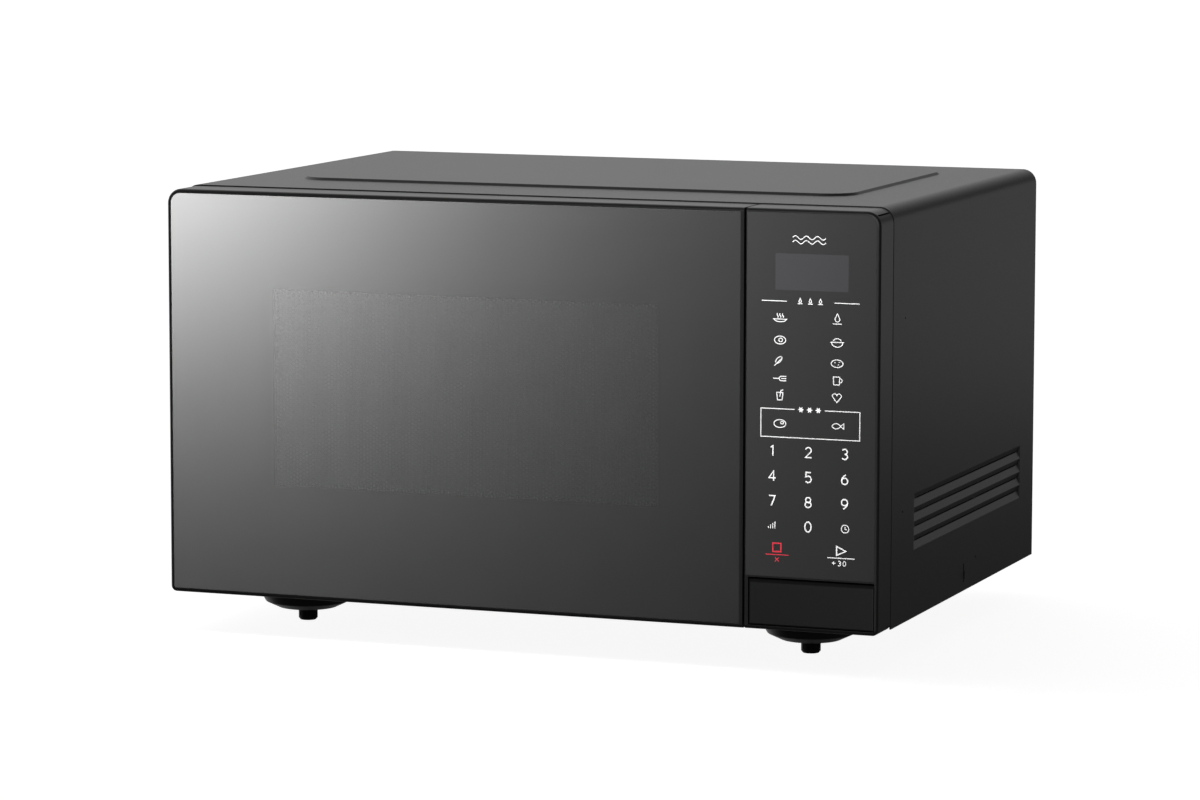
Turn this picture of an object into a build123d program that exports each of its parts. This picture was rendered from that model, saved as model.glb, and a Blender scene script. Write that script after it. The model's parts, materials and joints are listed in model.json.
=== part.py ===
"""Countertop microwave oven, as the separate pieces that it comes apart into.

Lengths are millimetres. The origin is on the counter under the middle of the oven, +X is to the
right of a person facing the door, the front faces -Y and +Z is up. Pieces are laid out in case
coordinates: x from the left side, y behind the front face, z above the door's lower edge.
"""

import os
from math import cos, radians, sin, sqrt

from build123d import *

os.makedirs("parts", exist_ok=True)

# ---------------------------------------------------------------- driving dimensions
WIDTH = 513.0
DEPTH = 404.0
BODY_HEIGHT = 280.0
CASE_TOP = BODY_HEIGHT + 0.8
FOOT_DROP = 26.5

SHEET = 1.0
CASE_FRONT = 30.0
CASE_REAR = 376.0
UPPER_CORNER = 10.0
LOWER_CORNER = 4.0
EDGE_ROUND = 2.5

FRONT_UNIT_DEPTH = 28.5
DOOR_WIDTH = 419.2
PANEL_LEFT = 420.8
SKIN = 2.5
HINGE_X, HINGE_Y = 6.5, 17.0
HINGE_PIN_R = 3.0

CAVITY_X = (34.0, 386.0)
CAVITY_Y = (31.0, 356.0)
CAVITY_Z = (40.0, 252.0)
CAVITY_CORNER = 8.0

HOOK_HEIGHTS = (60.0, 216.0)
HOOK_X = (401.0, 405.0)
LEVER_Y, LEVER_Z = 36.0, 42.0
LEVER_SHAFT_R = 2.5

TURN_X, TURN_Y = 210.0, 193.5
TRAY_R = 157.5
WHEEL_R = 9.0
WHEEL_AXLE_R = 2.0
AXLE_Z = CAVITY_Z[0] + WHEEL_R + 0.4

FAN_X, FAN_Z = 448.0, 190.0
FAN_R = 45.0
TUBE_Y, TUBE_Z = 165.0, 190.0

FOOT_X = (72.2, 443.8)
FOOT_Y = (72.0, 332.0)
FOOT_R = 6.65
DISH_DROP = 17.0

FIT = 0.05

LEFT = -WIDTH / 2
FRONT = -DEPTH / 2
BASE = FOOT_DROP


# ---------------------------------------------------------------- planes and shared shapes
def front_plane(depth):
    """Faces the user: sketch x is case x, sketch y is case z, extrusions go forward."""
    return Plane(origin=(LEFT, FRONT + depth, BASE), x_dir=(1, 0, 0), z_dir=(0, -1, 0))


def floor_plane(height):
    """Lies flat: sketch x is case x, sketch y is case y, extrusions go up."""
    return Plane(origin=(LEFT, FRONT, BASE + height), x_dir=(1, 0, 0), z_dir=(0, 0, 1))


def side_plane(distance):
    """Faces right: sketch x is case y, sketch y is case z, extrusions go right."""
    return Plane(origin=(LEFT + distance, FRONT, BASE), x_dir=(0, 1, 0), z_dir=(1, 0, 0))


def upright_axis(x, y):
    """The vertical axis through a point of the floor plan."""
    return Axis((LEFT + x, FRONT + y, BASE), (0, 0, 1))


def block(x, y, z, mode=Mode.ADD):
    """A box between case limits, in the active part."""
    centre = (LEFT + sum(x) / 2, FRONT + sum(y) / 2, BASE + sum(z) / 2)
    with Locations(centre):
        Box(x[1] - x[0], y[1] - y[0], z[1] - z[0], mode=mode)


def plate(plane, x, z, radii, amount, mode=Mode.ADD):
    """A plate with its own radius at each corner, counted round from the low corner."""
    corners = ((x[0], z[0]), (x[1], z[0]), (x[1], z[1]), (x[0], z[1]))
    with BuildSketch(plane) as outline:
        with Locations((sum(x) / 2, sum(z) / 2)):
            Rectangle(x[1] - x[0], z[1] - z[0])
        for corner, radius in zip(corners, radii):
            if radius:
                fillet(outline.vertices().sort_by_distance((*corner, 0))[0], radius)
    extrude(to_extrude=outline.sketch, amount=amount, mode=mode)


def rod(plane, point, radius, amount, mode=Mode.ADD):
    """A round bar or hole square to a plane."""
    with BuildSketch(plane) as circle:
        with Locations(point):
            Circle(radius)
    extrude(to_extrude=circle.sketch, amount=amount, mode=mode)


def rod_grid(plane, centre, spacing, counts, radius, amount, mode=Mode.SUBTRACT):
    """A rectangular field of round holes or pins."""
    with BuildSketch(plane) as field:
        with Locations(centre):
            with GridLocations(*spacing, *counts):
                Circle(radius)
    extrude(to_extrude=field.sketch, amount=amount, mode=mode)


def turned(points, x, y):
    """A solid turned about an upright axis from a half section of (radius, height) points."""
    plane = Plane(origin=(LEFT + x, FRONT + y, BASE), x_dir=(1, 0, 0), z_dir=(0, -1, 0))
    with BuildSketch(plane) as section:
        with BuildLine():
            Polyline(*points, close=True)
        make_face()
    revolve(section.sketch, axis=upright_axis(x, y))


def coil(start, direction, radius, wire, height, turns):
    """A round wire coil spring."""
    path = Helix(
        pitch=height / turns, height=height, radius=radius, center=start, direction=direction
    )
    with BuildSketch(Plane(origin=path @ 0, z_dir=path % 0)) as section:
        Circle(wire)
    sweep(section.sketch, path=path, is_frenet=True)


def finish(piece, name):
    """Labels a piece and writes it as its own STEP file."""
    piece.part.label = name
    export_step(piece.part, f"parts/{name}.step")


# ---------------------------------------------------------------- cabinet shells
LOUVRE_Y = (80.0, 341.0)
LOUVRE_TOP = 84.3
LOUVRE_PITCH = 9.5
LOUVRE_COUNT = 4
LOUVRE_UNDERCUT = 4.5
LOUVRE_DEPTH = 1.5
LOUVRE_SLIT = 1.0
REAR_FLANGE = 13.0
SCREW_X = (8.0, 505.0)
SCREW_Z = (22.0, 140.0, 262.0)
SCREW_R = 1.7
PLATEAU_CENTRE = (256.5, 211.0)
PLATEAU_SIZE = (409.0, 228.0)
PLATEAU_RISE = 1.6
PLATEAU_CORNER = 22.0


def louvre_bank(wall_x, inward):
    """Air slots pressed into a side wall: each band leans in to its slit and comes back out."""
    low = LOUVRE_TOP - LOUVRE_COUNT * LOUVRE_PITCH
    tops = [LOUVRE_TOP - step * LOUVRE_PITCH for step in range(LOUVRE_COUNT)]
    skin = []
    for top in tops:
        skin += [(wall_x, top), (wall_x + inward * LOUVRE_DEPTH, top - LOUVRE_UNDERCUT)]
    skin.append((wall_x, low))
    back = [(x + inward * SHEET, z) for x, z in reversed(skin)]
    wall = sorted((wall_x - inward * SHEET, wall_x + inward * SHEET))
    block(wall, LOUVRE_Y, (low, LOUVRE_TOP), mode=Mode.SUBTRACT)
    with BuildSketch(front_plane(LOUVRE_Y[0])) as bands:
        with BuildLine():
            Polyline(*skin, *back, close=True)
        make_face()
    extrude(to_extrude=bands.sketch, amount=LOUVRE_Y[0] - LOUVRE_Y[1])
    front, rear = LOUVRE_Y
    deep = LOUVRE_DEPTH + SHEET
    eased_end = (
        (0, front), (0.25, front + 1.6), (0.8, front + 3.0), (LOUVRE_DEPTH, front + 4.6),
        (deep, front + 4.6), (deep, front + 3.8), (SHEET, front),
    )
    steep_end = ((0, rear), (LOUVRE_DEPTH, rear - 0.8), (deep, rear - 0.8), (deep, rear))
    for end in (eased_end, steep_end):
        with BuildSketch(floor_plane(low)) as end_wall:
            with BuildLine():
                Polyline(*[(wall_x + inward * x, y) for x, y in end], close=True)
            make_face()
        extrude(to_extrude=end_wall.sketch, amount=LOUVRE_TOP - low)
    slit_x = sorted((wall_x + inward * (LOUVRE_DEPTH - 0.6), wall_x + inward * (deep + 0.2)))
    for top in tops:
        valley = top - LOUVRE_UNDERCUT
        block(slit_x, (front + 8.0, rear - 8.0), (valley, valley + LOUVRE_SLIT), Mode.SUBTRACT)


def plateau(height, mode):
    """The low raised field of the top sheet, with sloping sides."""
    with BuildSketch(floor_plane(height)) as field:
        with Locations(PLATEAU_CENTRE):
            RectangleRounded(*PLATEAU_SIZE, PLATEAU_CORNER)
    extrude(to_extrude=field.sketch, amount=PLATEAU_RISE, taper=50, mode=mode)


with BuildPart() as outer_cabinet:
    with BuildSketch(front_plane(CASE_FRONT)):
        with BuildLine():
            FilletPolyline(
                (0, 0), (0, CASE_TOP), (WIDTH, CASE_TOP), (WIDTH, 0), radius=UPPER_CORNER
            )
            offset(amount=SHEET, side=Side.RIGHT)
        make_face()
    extrude(amount=CASE_FRONT - CASE_REAR)
    upper = (0, 0, UPPER_CORNER - SHEET / 2, UPPER_CORNER - SHEET / 2)
    plate(
        front_plane(CASE_REAR - SHEET),
        (SHEET / 2, WIDTH - SHEET / 2),
        (0, CASE_TOP - SHEET / 2),
        upper,
        -SHEET,
    )
    plate(
        front_plane(CASE_REAR - SHEET),
        (REAR_FLANGE, WIDTH - REAR_FLANGE),
        (-SHEET, CASE_TOP - REAR_FLANGE),
        (0, 0, SHEET, SHEET),
        -SHEET,
        mode=Mode.SUBTRACT,
    )
    plateau(CASE_TOP, Mode.ADD)
    plateau(CASE_TOP - SHEET, Mode.SUBTRACT)
    louvre_bank(0, 1)
    louvre_bank(WIDTH, -1)
    # Locating dimples and the lanced tab that hooks each side to the base.
    for dimple in ((57.0, 205.0), (54.5, 75.5), (229.5, 19.7)):
        rod(side_plane(-SHEET), dimple, 0.9, WIDTH + 2 * SHEET, mode=Mode.SUBTRACT)
    block((-SHEET, WIDTH + SHEET), (199.0, 201.5), (6.0, 19.0), mode=Mode.SUBTRACT)
    for tab_x in ((-0.6, SHEET), (WIDTH - SHEET, WIDTH + 0.6)):
        block(tab_x, (201.2, 202.6), (8.0, 14.0))
    for screw_z in SCREW_Z:
        for screw_x in SCREW_X:
            rod(
                front_plane(CASE_REAR - 2 * SHEET),
                (screw_x, screw_z),
                SCREW_R + FIT,
                -3 * SHEET,
                mode=Mode.SUBTRACT,
            )
finish(outer_cabinet, "outer_cabinet")

BASE_SHEET_Z = 2.0
DISH_TOP_R = 40.0
DISH_SHOULDER_R = 37.0
DISH_WAIST_R = 29.8
DISH_FLOOR_R = 20.5
DISH_WAIST_Z = -12.6
STEM_R = 2.9

with BuildPart() as base_plate:
    inner_x = (SHEET + 0.2, WIDTH - SHEET - 0.2)
    block(inner_x, (CASE_FRONT + 1.2, CASE_REAR - 2.4), (BASE_SHEET_Z, BASE_SHEET_Z + SHEET))
    for foot_x in FOOT_X:
        for foot_y in FOOT_Y:
            rod(
                floor_plane(BASE_SHEET_Z - SHEET),
                (foot_x, foot_y),
                DISH_TOP_R - 1.0,
                3 * SHEET,
                mode=Mode.SUBTRACT,
            )
            dish_plane = Plane(
                origin=(LEFT + foot_x, FRONT + foot_y, BASE), x_dir=(1, 0, 0), z_dir=(0, -1, 0)
            )
            with BuildSketch(dish_plane) as dish:
                with BuildLine():
                    FilletPolyline(
                        (STEM_R + FIT, -DISH_DROP),
                        (DISH_FLOOR_R, -DISH_DROP),
                        (DISH_WAIST_R, DISH_WAIST_Z),
                        (DISH_SHOULDER_R, BASE_SHEET_Z),
                        (DISH_TOP_R, BASE_SHEET_Z),
                        radius=2.4,
                    )
                    offset(amount=SHEET, side=Side.LEFT)
                make_face()
            revolve(dish.sketch, axis=upright_axis(foot_x, foot_y))
    # Air slots under the power electronics, and the window for the turntable motor.
    with BuildSketch(floor_plane(0)) as intake:
        with Locations((450.0, 205.0)):
            with GridLocations(0, 9.0, 1, 9):
                SlotOverall(70.0, 4.0)
        with Locations((TURN_X, TURN_Y)):
            Circle(30.0)
    extrude(to_extrude=intake.sketch, amount=4 * SHEET, mode=Mode.SUBTRACT)
    # Upturned side flanges that stiffen the pan.
    for flange_x in (inner_x[0], inner_x[1] - SHEET):
        block((flange_x, flange_x + SHEET), (38.0, 368.0), (BASE_SHEET_Z, 16.0))
    block((-SHEET, WIDTH + SHEET), (198.0, 202.5), (5.0, 20.0), mode=Mode.SUBTRACT)
finish(base_plate, "base_plate")

GRILLE_X, GRILLE_Z, GRILLE_R = FAN_X, FAN_Z, 44.0
GLAND_X, GLAND_Z, GLAND_R = 470.0, 44.0, 8.5

with BuildPart() as rear_panel:
    rear_x = (SHEET + 0.2, WIDTH - SHEET - 0.2)
    rear_z = (BASE_SHEET_Z, CASE_TOP - SHEET - 0.2)
    plate(front_plane(CASE_REAR - 2 * SHEET), rear_x, rear_z, (2, 2, 8.6, 8.6), -SHEET)
    with BuildSketch(front_plane(CASE_REAR - 3 * SHEET)) as grille:
        for row in range(-4, 5):
            offset_z = row * 9.0
            width = 2 * sqrt(GRILLE_R**2 - offset_z**2)
            with Locations((GRILLE_X, GRILLE_Z + offset_z)):
                SlotOverall(width, 5.0)
        with Locations((90.0, 215.0)):
            with GridLocations(0, 9.0, 1, 5):
                SlotOverall(80.0, 4.0)
        with Locations((GLAND_X, GLAND_Z)):
            Circle(GLAND_R)
        for screw_x in SCREW_X:
            for screw_z in SCREW_Z:
                with Locations((screw_x, screw_z)):
                    Circle(SCREW_R + FIT)
    extrude(to_extrude=grille.sketch, amount=-3 * SHEET, mode=Mode.SUBTRACT)
finish(rear_panel, "rear_panel")

COVER_X = (398.0, 497.0)
COVER_Z = (128.0, 240.0)

with BuildPart() as rear_air_guide:
    block(COVER_X, (CASE_REAR - SHEET, DEPTH), COVER_Z)
    fillet(rear_air_guide.faces().sort_by(Axis.Y)[-1].edges(), 6.0)
    block(
        (COVER_X[0] + SKIN, COVER_X[1] - SKIN),
        (CASE_REAR - 2 * SHEET, DEPTH - SKIN),
        (COVER_Z[0] - SKIN, COVER_Z[1] - SKIN),
        mode=Mode.SUBTRACT,
    )
    with BuildSketch(front_plane(DEPTH + SHEET)) as guide_slots:
        with Locations((sum(COVER_X) / 2, sum(COVER_Z) / 2)):
            with GridLocations(0, 11.0, 1, 7):
                SlotOverall(70.0, 5.0)
    extrude(to_extrude=guide_slots.sketch, amount=3 * SKIN, mode=Mode.SUBTRACT)
finish(rear_air_guide, "rear_air_guide")

with BuildPart() as rear_spacers:
    for spacer_z in (40.0, 240.0):
        spot = (45.0, spacer_z)
        rod(front_plane(CASE_REAR - SHEET), spot, 10.0, CASE_REAR - SHEET - DEPTH)
    fillet(rear_spacers.faces().sort_by(Axis.Y)[-2:].edges(), 3.0)
    for spacer_z in (40.0, 240.0):
        spot = (45.0, spacer_z)
        rod(front_plane(DEPTH + SHEET), spot, 4.0, -20.0, mode=Mode.SUBTRACT)
finish(rear_spacers, "rear_spacers")

with BuildPart() as cord_gland:
    rod(front_plane(CASE_REAR - SHEET), (GLAND_X, GLAND_Z), 12.0, -4.0)
    rod(front_plane(CASE_REAR - SHEET), (GLAND_X, GLAND_Z), GLAND_R - FIT, 8.0)
    rod(front_plane(CASE_REAR + 2 * SKIN), (GLAND_X, GLAND_Z), 3.6, 20.0, mode=Mode.SUBTRACT)
    chamfer(cord_gland.faces().sort_by(Axis.Y)[-1].outer_wire().edges(), 1.2)
finish(cord_gland, "cord_gland")

with BuildPart() as cabinet_screws:
    for screw_x in SCREW_X:
        for screw_z in SCREW_Z:
            rod(front_plane(CASE_REAR), (screw_x, screw_z), 3.8, -2.0)
            rod(front_plane(CASE_REAR), (screw_x, screw_z), SCREW_R, 9.0)
            with BuildSketch(front_plane(CASE_REAR + 2.0)) as drive:
                with Locations((screw_x, screw_z)):
                    Rectangle(4.4, 0.9)
                    Rectangle(0.9, 4.4)
            extrude(to_extrude=drive.sketch, amount=1.0, mode=Mode.SUBTRACT)
finish(cabinet_screws, "cabinet_screws")


def foot(x, y):
    """A moulded foot: ribbed pad under the dish and a barbed stem through it."""
    pad = -FOOT_DROP
    turned(
        (
            (0, pad),
            (FOOT_R - 1.2, pad),
            (FOOT_R, pad + 1.4),
            (FOOT_R, -DISH_DROP),
            (STEM_R, -DISH_DROP),
            (STEM_R, -DISH_DROP + SHEET),
            (STEM_R + 1.2, -DISH_DROP + SHEET),
            (STEM_R - 0.9, -DISH_DROP + 5.0),
            (0, -DISH_DROP + 5.0),
        ),
        x,
        y,
    )
    with BuildSketch(floor_plane(pad + 3.0)) as grooves:
        with Locations((x, y)):
            with PolarLocations(FOOT_R + 0.2, 12):
                Circle(0.6)
    extrude(to_extrude=grooves.sketch, amount=5.5, mode=Mode.SUBTRACT)


for row, foot_y in zip(("front", "rear"), FOOT_Y):
    for hand, foot_x in zip(("left", "right"), FOOT_X):
        with BuildPart() as one_foot:
            foot(foot_x, foot_y)
        finish(one_foot, f"foot_{row}_{hand}")

# ---------------------------------------------------------------- front frame and hinges
TONGUE = 2.5
TONGUE_GAP = 0.6
LOWER_TONGUE_Z = 5.8
UPPER_TONGUE_Z = 271.7
PIN_LENGTH = 11.0
SLOT_X = (398.5, 408.0)
PLUNGER_X = (424.0, 432.0)
PLUNGER_Z = (17.5, 22.0)

with BuildPart() as front_frame:
    frame_x = (SHEET + 0.2, WIDTH - SHEET - 0.2)
    frame_z = (SHEET + 0.2, CASE_TOP - SHEET - 0.2)
    plate(front_plane(CASE_FRONT), frame_x, frame_z, (2, 2, 8.6, 8.6), -SHEET)
    plate(
        front_plane(CASE_FRONT - SHEET),
        CAVITY_X,
        CAVITY_Z,
        (CAVITY_CORNER,) * 4,
        -3 * SHEET,
        mode=Mode.SUBTRACT,
    )
    for hook_z in HOOK_HEIGHTS:
        block(SLOT_X, (29, 32), (hook_z - 11.0, hook_z + 9.0), mode=Mode.SUBTRACT)
    block((421.5, 434.5), (29, 32), (14.0, 25.5), mode=Mode.SUBTRACT)
    # Opening behind the control board, and the slots of the hinge tongues.
    plate(
        front_plane(29.0), (436.0, 500.0), (60.0, 262.0), (6,) * 4, -3 * SHEET, mode=Mode.SUBTRACT
    )
    for tongue_z in (LOWER_TONGUE_Z, UPPER_TONGUE_Z):
        block((2.5, 10.5), (29, 32), (tongue_z, tongue_z + TONGUE), mode=Mode.SUBTRACT)
    # Stiffening returns along the top and bottom.
    for return_z in (BASE_SHEET_Z + 1.2, CASE_TOP - 2.5 * SHEET):
        block((20.0, 493.0), (31.0, 42.0), (return_z, return_z + SHEET))
finish(front_frame, "front_frame")


def hinge_bracket(tongue_z, pin_up):
    """A steel tongue with its hinge pin, on a flange that sits behind the front frame."""
    block((2.5, 10.5), (HINGE_Y, CASE_FRONT + SHEET), (tongue_z, tongue_z + TONGUE))
    rod(floor_plane(tongue_z), (HINGE_X, HINGE_Y), 6.0, TONGUE)
    flange_z = (tongue_z - 1.0, tongue_z + 24.0) if pin_up else (tongue_z - 21.5, tongue_z + TONGUE)
    block((2.5, 18.0), (31.0, 33.0), flange_z)
    if pin_up:
        rod(floor_plane(tongue_z + TONGUE), (HINGE_X, HINGE_Y), HINGE_PIN_R, PIN_LENGTH)
    else:
        rod(floor_plane(tongue_z - PIN_LENGTH), (HINGE_X, HINGE_Y), HINGE_PIN_R, PIN_LENGTH)


with BuildPart() as hinge_bracket_bottom:
    hinge_bracket(LOWER_TONGUE_Z, True)
finish(hinge_bracket_bottom, "hinge_bracket_bottom")

with BuildPart() as hinge_bracket_top:
    hinge_bracket(UPPER_TONGUE_Z, False)
finish(hinge_bracket_top, "hinge_bracket_top")

# ---------------------------------------------------------------- oven cavity and waveguide
VENT_CENTRE = (103.0, 190.0)
LAMP_CENTRE = (100.0, 234.0)
PORT_Y = (140.0, 220.0)
PORT_Z = (150.0, 205.0)
GUIDE_Y = (131.0, 232.0)
GUIDE_Z = (140.0, 222.0)
GUIDE_X = (387.0, 417.0)

with BuildPart() as oven_cavity:
    outer_x = (CAVITY_X[0] - SHEET, CAVITY_X[1] + SHEET)
    outer_z = (CAVITY_Z[0] - SHEET, CAVITY_Z[1] + SHEET)
    cavity_depth = CAVITY_Y[1] - CAVITY_Y[0]
    corner = CAVITY_CORNER
    plate(front_plane(CAVITY_Y[0]), outer_x, outer_z, (corner + 1,) * 4, -cavity_depth - SHEET)
    plate(
        front_plane(CAVITY_Y[0]), CAVITY_X, CAVITY_Z, (corner,) * 4, -cavity_depth, Mode.SUBTRACT
    )
    # Welding flange behind the front frame.
    plate(front_plane(CAVITY_Y[0]), (26.0, 392.0), (33.0, 260.0), (12,) * 4, -SHEET)
    plate(
        front_plane(CAVITY_Y[0]), CAVITY_X, CAVITY_Z, (corner,) * 4, -2 * SHEET, Mode.SUBTRACT
    )
    wall_plane = side_plane(CAVITY_X[1] - SHEET)
    rod_grid(wall_plane, VENT_CENTRE, (5, 5), (5, 9), 1.5, 3 * SHEET)
    rod_grid(wall_plane, LAMP_CENTRE, (4, 4), (6, 4), 1.2, 3 * SHEET)
    block((385.0, 388.0), PORT_Y, PORT_Z, mode=Mode.SUBTRACT)
    rod_grid(side_plane(CAVITY_X[0] - 2 * SHEET), (310.0, 228.0), (5, 5), (12, 4), 1.5, 3 * SHEET)
    rod(floor_plane(CAVITY_Z[0] - 2 * SHEET), (TURN_X, TURN_Y), 8.0, 3 * SHEET, Mode.SUBTRACT)
finish(oven_cavity, "oven_cavity")

with BuildPart() as waveguide:
    block(GUIDE_X, GUIDE_Y, GUIDE_Z)
    fillet(waveguide.faces().sort_by(Axis.X)[-1].edges(), 3.0)
    block((387.0, 388.0), (124.0, 240.0), (133.0, 229.0))
    block((386.0, 416.0), (132.0, 231.0), (141.0, 221.0), mode=Mode.SUBTRACT)
    rod(side_plane(415.0), (TUBE_Y, TUBE_Z), 10.0, 3.0, mode=Mode.SUBTRACT)
finish(waveguide, "waveguide")

with BuildPart() as waveguide_cover:
    plate(side_plane(385.2), (132.0, 228.0), (142.0, 213.0), (4,) * 4, 0.8)
finish(waveguide_cover, "waveguide_cover")

# ---------------------------------------------------------------- magnetron
YOKE_X = (417.0, 471.0)
YOKE_Y = (124.0, 206.0)
YOKE_Z = (158.0, 222.0)
YOKE_SHEET = 2.0

with BuildPart() as magnetron_yoke:
    block(YOKE_X, YOKE_Y, YOKE_Z)
    block(
        (YOKE_X[0] + YOKE_SHEET, YOKE_X[1] - YOKE_SHEET),
        (YOKE_Y[0] - 1, YOKE_Y[1] + 1),
        (YOKE_Z[0] + YOKE_SHEET, YOKE_Z[1] - YOKE_SHEET),
        mode=Mode.SUBTRACT,
    )
    rod(side_plane(YOKE_X[0] - 1), (TUBE_Y, TUBE_Z), 10.0, 60.0, mode=Mode.SUBTRACT)
finish(magnetron_yoke, "magnetron_yoke")

with BuildPart() as magnetron_tube:
    rod(side_plane(426.0), (TUBE_Y, TUBE_Z), 19.0, 36.0)
    rod(side_plane(408.0), (TUBE_Y, TUBE_Z), 9.0, 18.0)
    rod(side_plane(396.0), (TUBE_Y, TUBE_Z), 7.5, 12.0)
    rod(side_plane(462.0), (TUBE_Y, TUBE_Z), 8.0, 22.0)
    for fin in range(6):
        fin_x = 428.0 + fin * 6.2
        block((fin_x, fin_x + 0.8), (127.0, 203.0), (161.0, 219.0))
finish(magnetron_tube, "magnetron_tube")

with BuildPart() as magnetron_magnets:
    for magnet_x in (419.2, 463.8):
        rod(side_plane(magnet_x), (TUBE_Y, TUBE_Z), 26.0, 5.0)
        rod(side_plane(magnet_x - 1), (TUBE_Y, TUBE_Z), 11.0, 8.0, mode=Mode.SUBTRACT)
finish(magnetron_magnets, "magnetron_magnets")

with BuildPart() as magnetron_filter_box:
    block((471.0, 498.0), (140.0, 190.0), (166.0, 214.0))
    fillet(magnetron_filter_box.faces().sort_by(Axis.X)[-1].edges(), 2.0)
    block((470.0, 497.0), (141.0, 189.0), (167.0, 213.0), mode=Mode.SUBTRACT)
    block((479.0, 493.0), (190.0, 204.0), (180.0, 200.0))
finish(magnetron_filter_box, "magnetron_filter_box")

# ---------------------------------------------------------------- fan and air duct
SHROUD = (52.0, 27.0)
MOTOR_FACE_Y = 340.0

with BuildPart() as fan_housing:
    block(
        (FAN_X - SHROUD[0], FAN_X + SHROUD[0]), (346.0, 373.0), (FAN_Z - SHROUD[0], FAN_Z + SHROUD[0])
    )
    rod(front_plane(345.0), (FAN_X, FAN_Z), FAN_R + 2.0, -30.0, mode=Mode.SUBTRACT)
    # Three arms and a hub ring carry the motor in front of the blades.
    with BuildSketch(front_plane(MOTOR_FACE_Y)) as spider:
        with Locations((FAN_X, FAN_Z)):
            Circle(16.0)
            with PolarLocations(32.0, 3, start_angle=90):
                Rectangle(40.0, 6.0)
    extrude(to_extrude=spider.sketch, amount=-6.0)
    rod(front_plane(339.0), (FAN_X, FAN_Z), 4.0, -10.0, mode=Mode.SUBTRACT)
finish(fan_housing, "fan_housing")

with BuildPart() as fan_motor:
    block((FAN_X - 26, FAN_X + 26), (318.0, MOTOR_FACE_Y), (FAN_Z - 16, FAN_Z + 30))
    fillet(fan_motor.edges().filter_by(Axis.Y), 3.0)
    rod(front_plane(316.0), (FAN_X, FAN_Z + 21), 15.0, -22.0)
    rod(front_plane(310.0), (FAN_X, FAN_Z), 8.0, -8.0)
    rod(front_plane(MOTOR_FACE_Y), (FAN_X, FAN_Z), 1.5, -26.0)
finish(fan_motor, "fan_motor")

with BuildPart() as fan_blade:
    rod(front_plane(351.0), (FAN_X, FAN_Z), 12.0, -14.0)
    blade_ring = front_plane(358.0).shift_origin(front_plane(358.0).from_local_coords((FAN_X, FAN_Z)))
    with Locations(blade_ring):
        with PolarLocations(27.5, 7):
            Box(33.0, 15.0, 1.5, rotation=(38, 0, 0))
    rod(front_plane(350.0), (FAN_X, FAN_Z), 1.5 + FIT, -20.0, mode=Mode.SUBTRACT)
finish(fan_blade, "fan_blade")

with BuildPart() as air_duct:
    block((388.0, 471.0), (85.0, 123.0), (157.0, 223.0))
    fillet(air_duct.edges().filter_by(Axis.Z).sort_by(Axis.Y)[:2], 10.0)
    block((387.0, 469.5), (86.5, 124.0), (158.5, 221.5), mode=Mode.SUBTRACT)
finish(air_duct, "air_duct")

# ---------------------------------------------------------------- power electronics
BOARD = 1.6

with BuildPart() as inverter_tray:
    block((392.0, 508.0), (118.0, 330.0), (6.0, 20.0))
    fillet(inverter_tray.edges().filter_by(Axis.Z), 4.0)
    block((394.0, 506.0), (120.0, 328.0), (8.0, 21.0), mode=Mode.SUBTRACT)
    for post_y in (126.0, 322.0):
        for post_x in (400.0, 500.0):
            rod(floor_plane(8.0), (post_x, post_y), 3.5, 5.0)
finish(inverter_tray, "inverter_tray")

with BuildPart() as inverter_board:
    block((395.0, 505.0), (121.0, 327.0), (13.0, 13.0 + BOARD))
    block((470.0, 500.0), (215.0, 235.0), (14.0, 32.0))
    block((398.0, 412.0), (300.0, 322.0), (14.0, 30.0))
    rod_grid(floor_plane(14.0), (480.0, 270.0), (14, 14), (2, 3), 4.5, 16.0, Mode.ADD)
finish(inverter_board, "inverter_board")

with BuildPart() as inverter_heatsink:
    for sink_y in (130.0, 178.0):
        block((398.0, 402.0), (sink_y, sink_y + 40.0), (14.6, 62.0))
        for fin in range(7):
            fin_z = 18.0 + fin * 6.6
            block((402.0, 428.0), (sink_y, sink_y + 40.0), (fin_z, fin_z + 1.6))
finish(inverter_heatsink, "inverter_heatsink")

with BuildPart() as inverter_transformer:
    block((444.0, 492.0), (140.0, 152.0), (14.6, 58.0))
    block((444.0, 492.0), (188.0, 200.0), (14.6, 58.0))
    block((458.0, 478.0), (152.0, 188.0), (26.0, 46.0))
    with BuildSketch(front_plane(154.0)) as winding:
        with Locations((468.0, 36.0)):
            Circle(21.0)
    extrude(to_extrude=winding.sketch, amount=-32.0)
finish(inverter_transformer, "inverter_transformer")

with BuildPart() as inverter_capacitors:
    for can_x, can_y, can_r in ((420.0, 250.0, 13.0), (450.0, 250.0, 13.0), (420.0, 282.0, 10.0)):
        rod(floor_plane(14.6), (can_x, can_y), can_r, 34.0)
    chamfer(inverter_capacitors.faces().sort_by(Axis.Z)[-3:].edges(), 1.2)
finish(inverter_capacitors, "inverter_capacitors")

with BuildPart() as line_filter_board:
    block((396.0, 500.0), (250.0, 335.0), (246.0, 246.0 + BOARD))
    block((404.0, 430.0), (258.0, 284.0), (247.0, 268.0))
    rod(floor_plane(247.0), (462.0, 276.0), 15.0, 14.0)
    rod(floor_plane(247.0), (462.0, 276.0), 6.0, 16.0, mode=Mode.SUBTRACT)
    block((404.0, 434.0), (300.0, 308.0), (247.0, 256.0))
    block((450.0, 480.0), (306.0, 322.0), (247.0, 264.0))
finish(line_filter_board, "line_filter_board")

# ---------------------------------------------------------------- small parts round the cavity
with BuildPart() as cavity_lamp:
    block((387.0, 391.0), (84.0, 116.0), (224.0, 244.0))
    rod(side_plane(391.0), (100.0, 234.0), 9.0, 14.0)
    rod(side_plane(405.0), (100.0, 234.0), 6.0, 14.0)
finish(cavity_lamp, "cavity_lamp")

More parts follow.
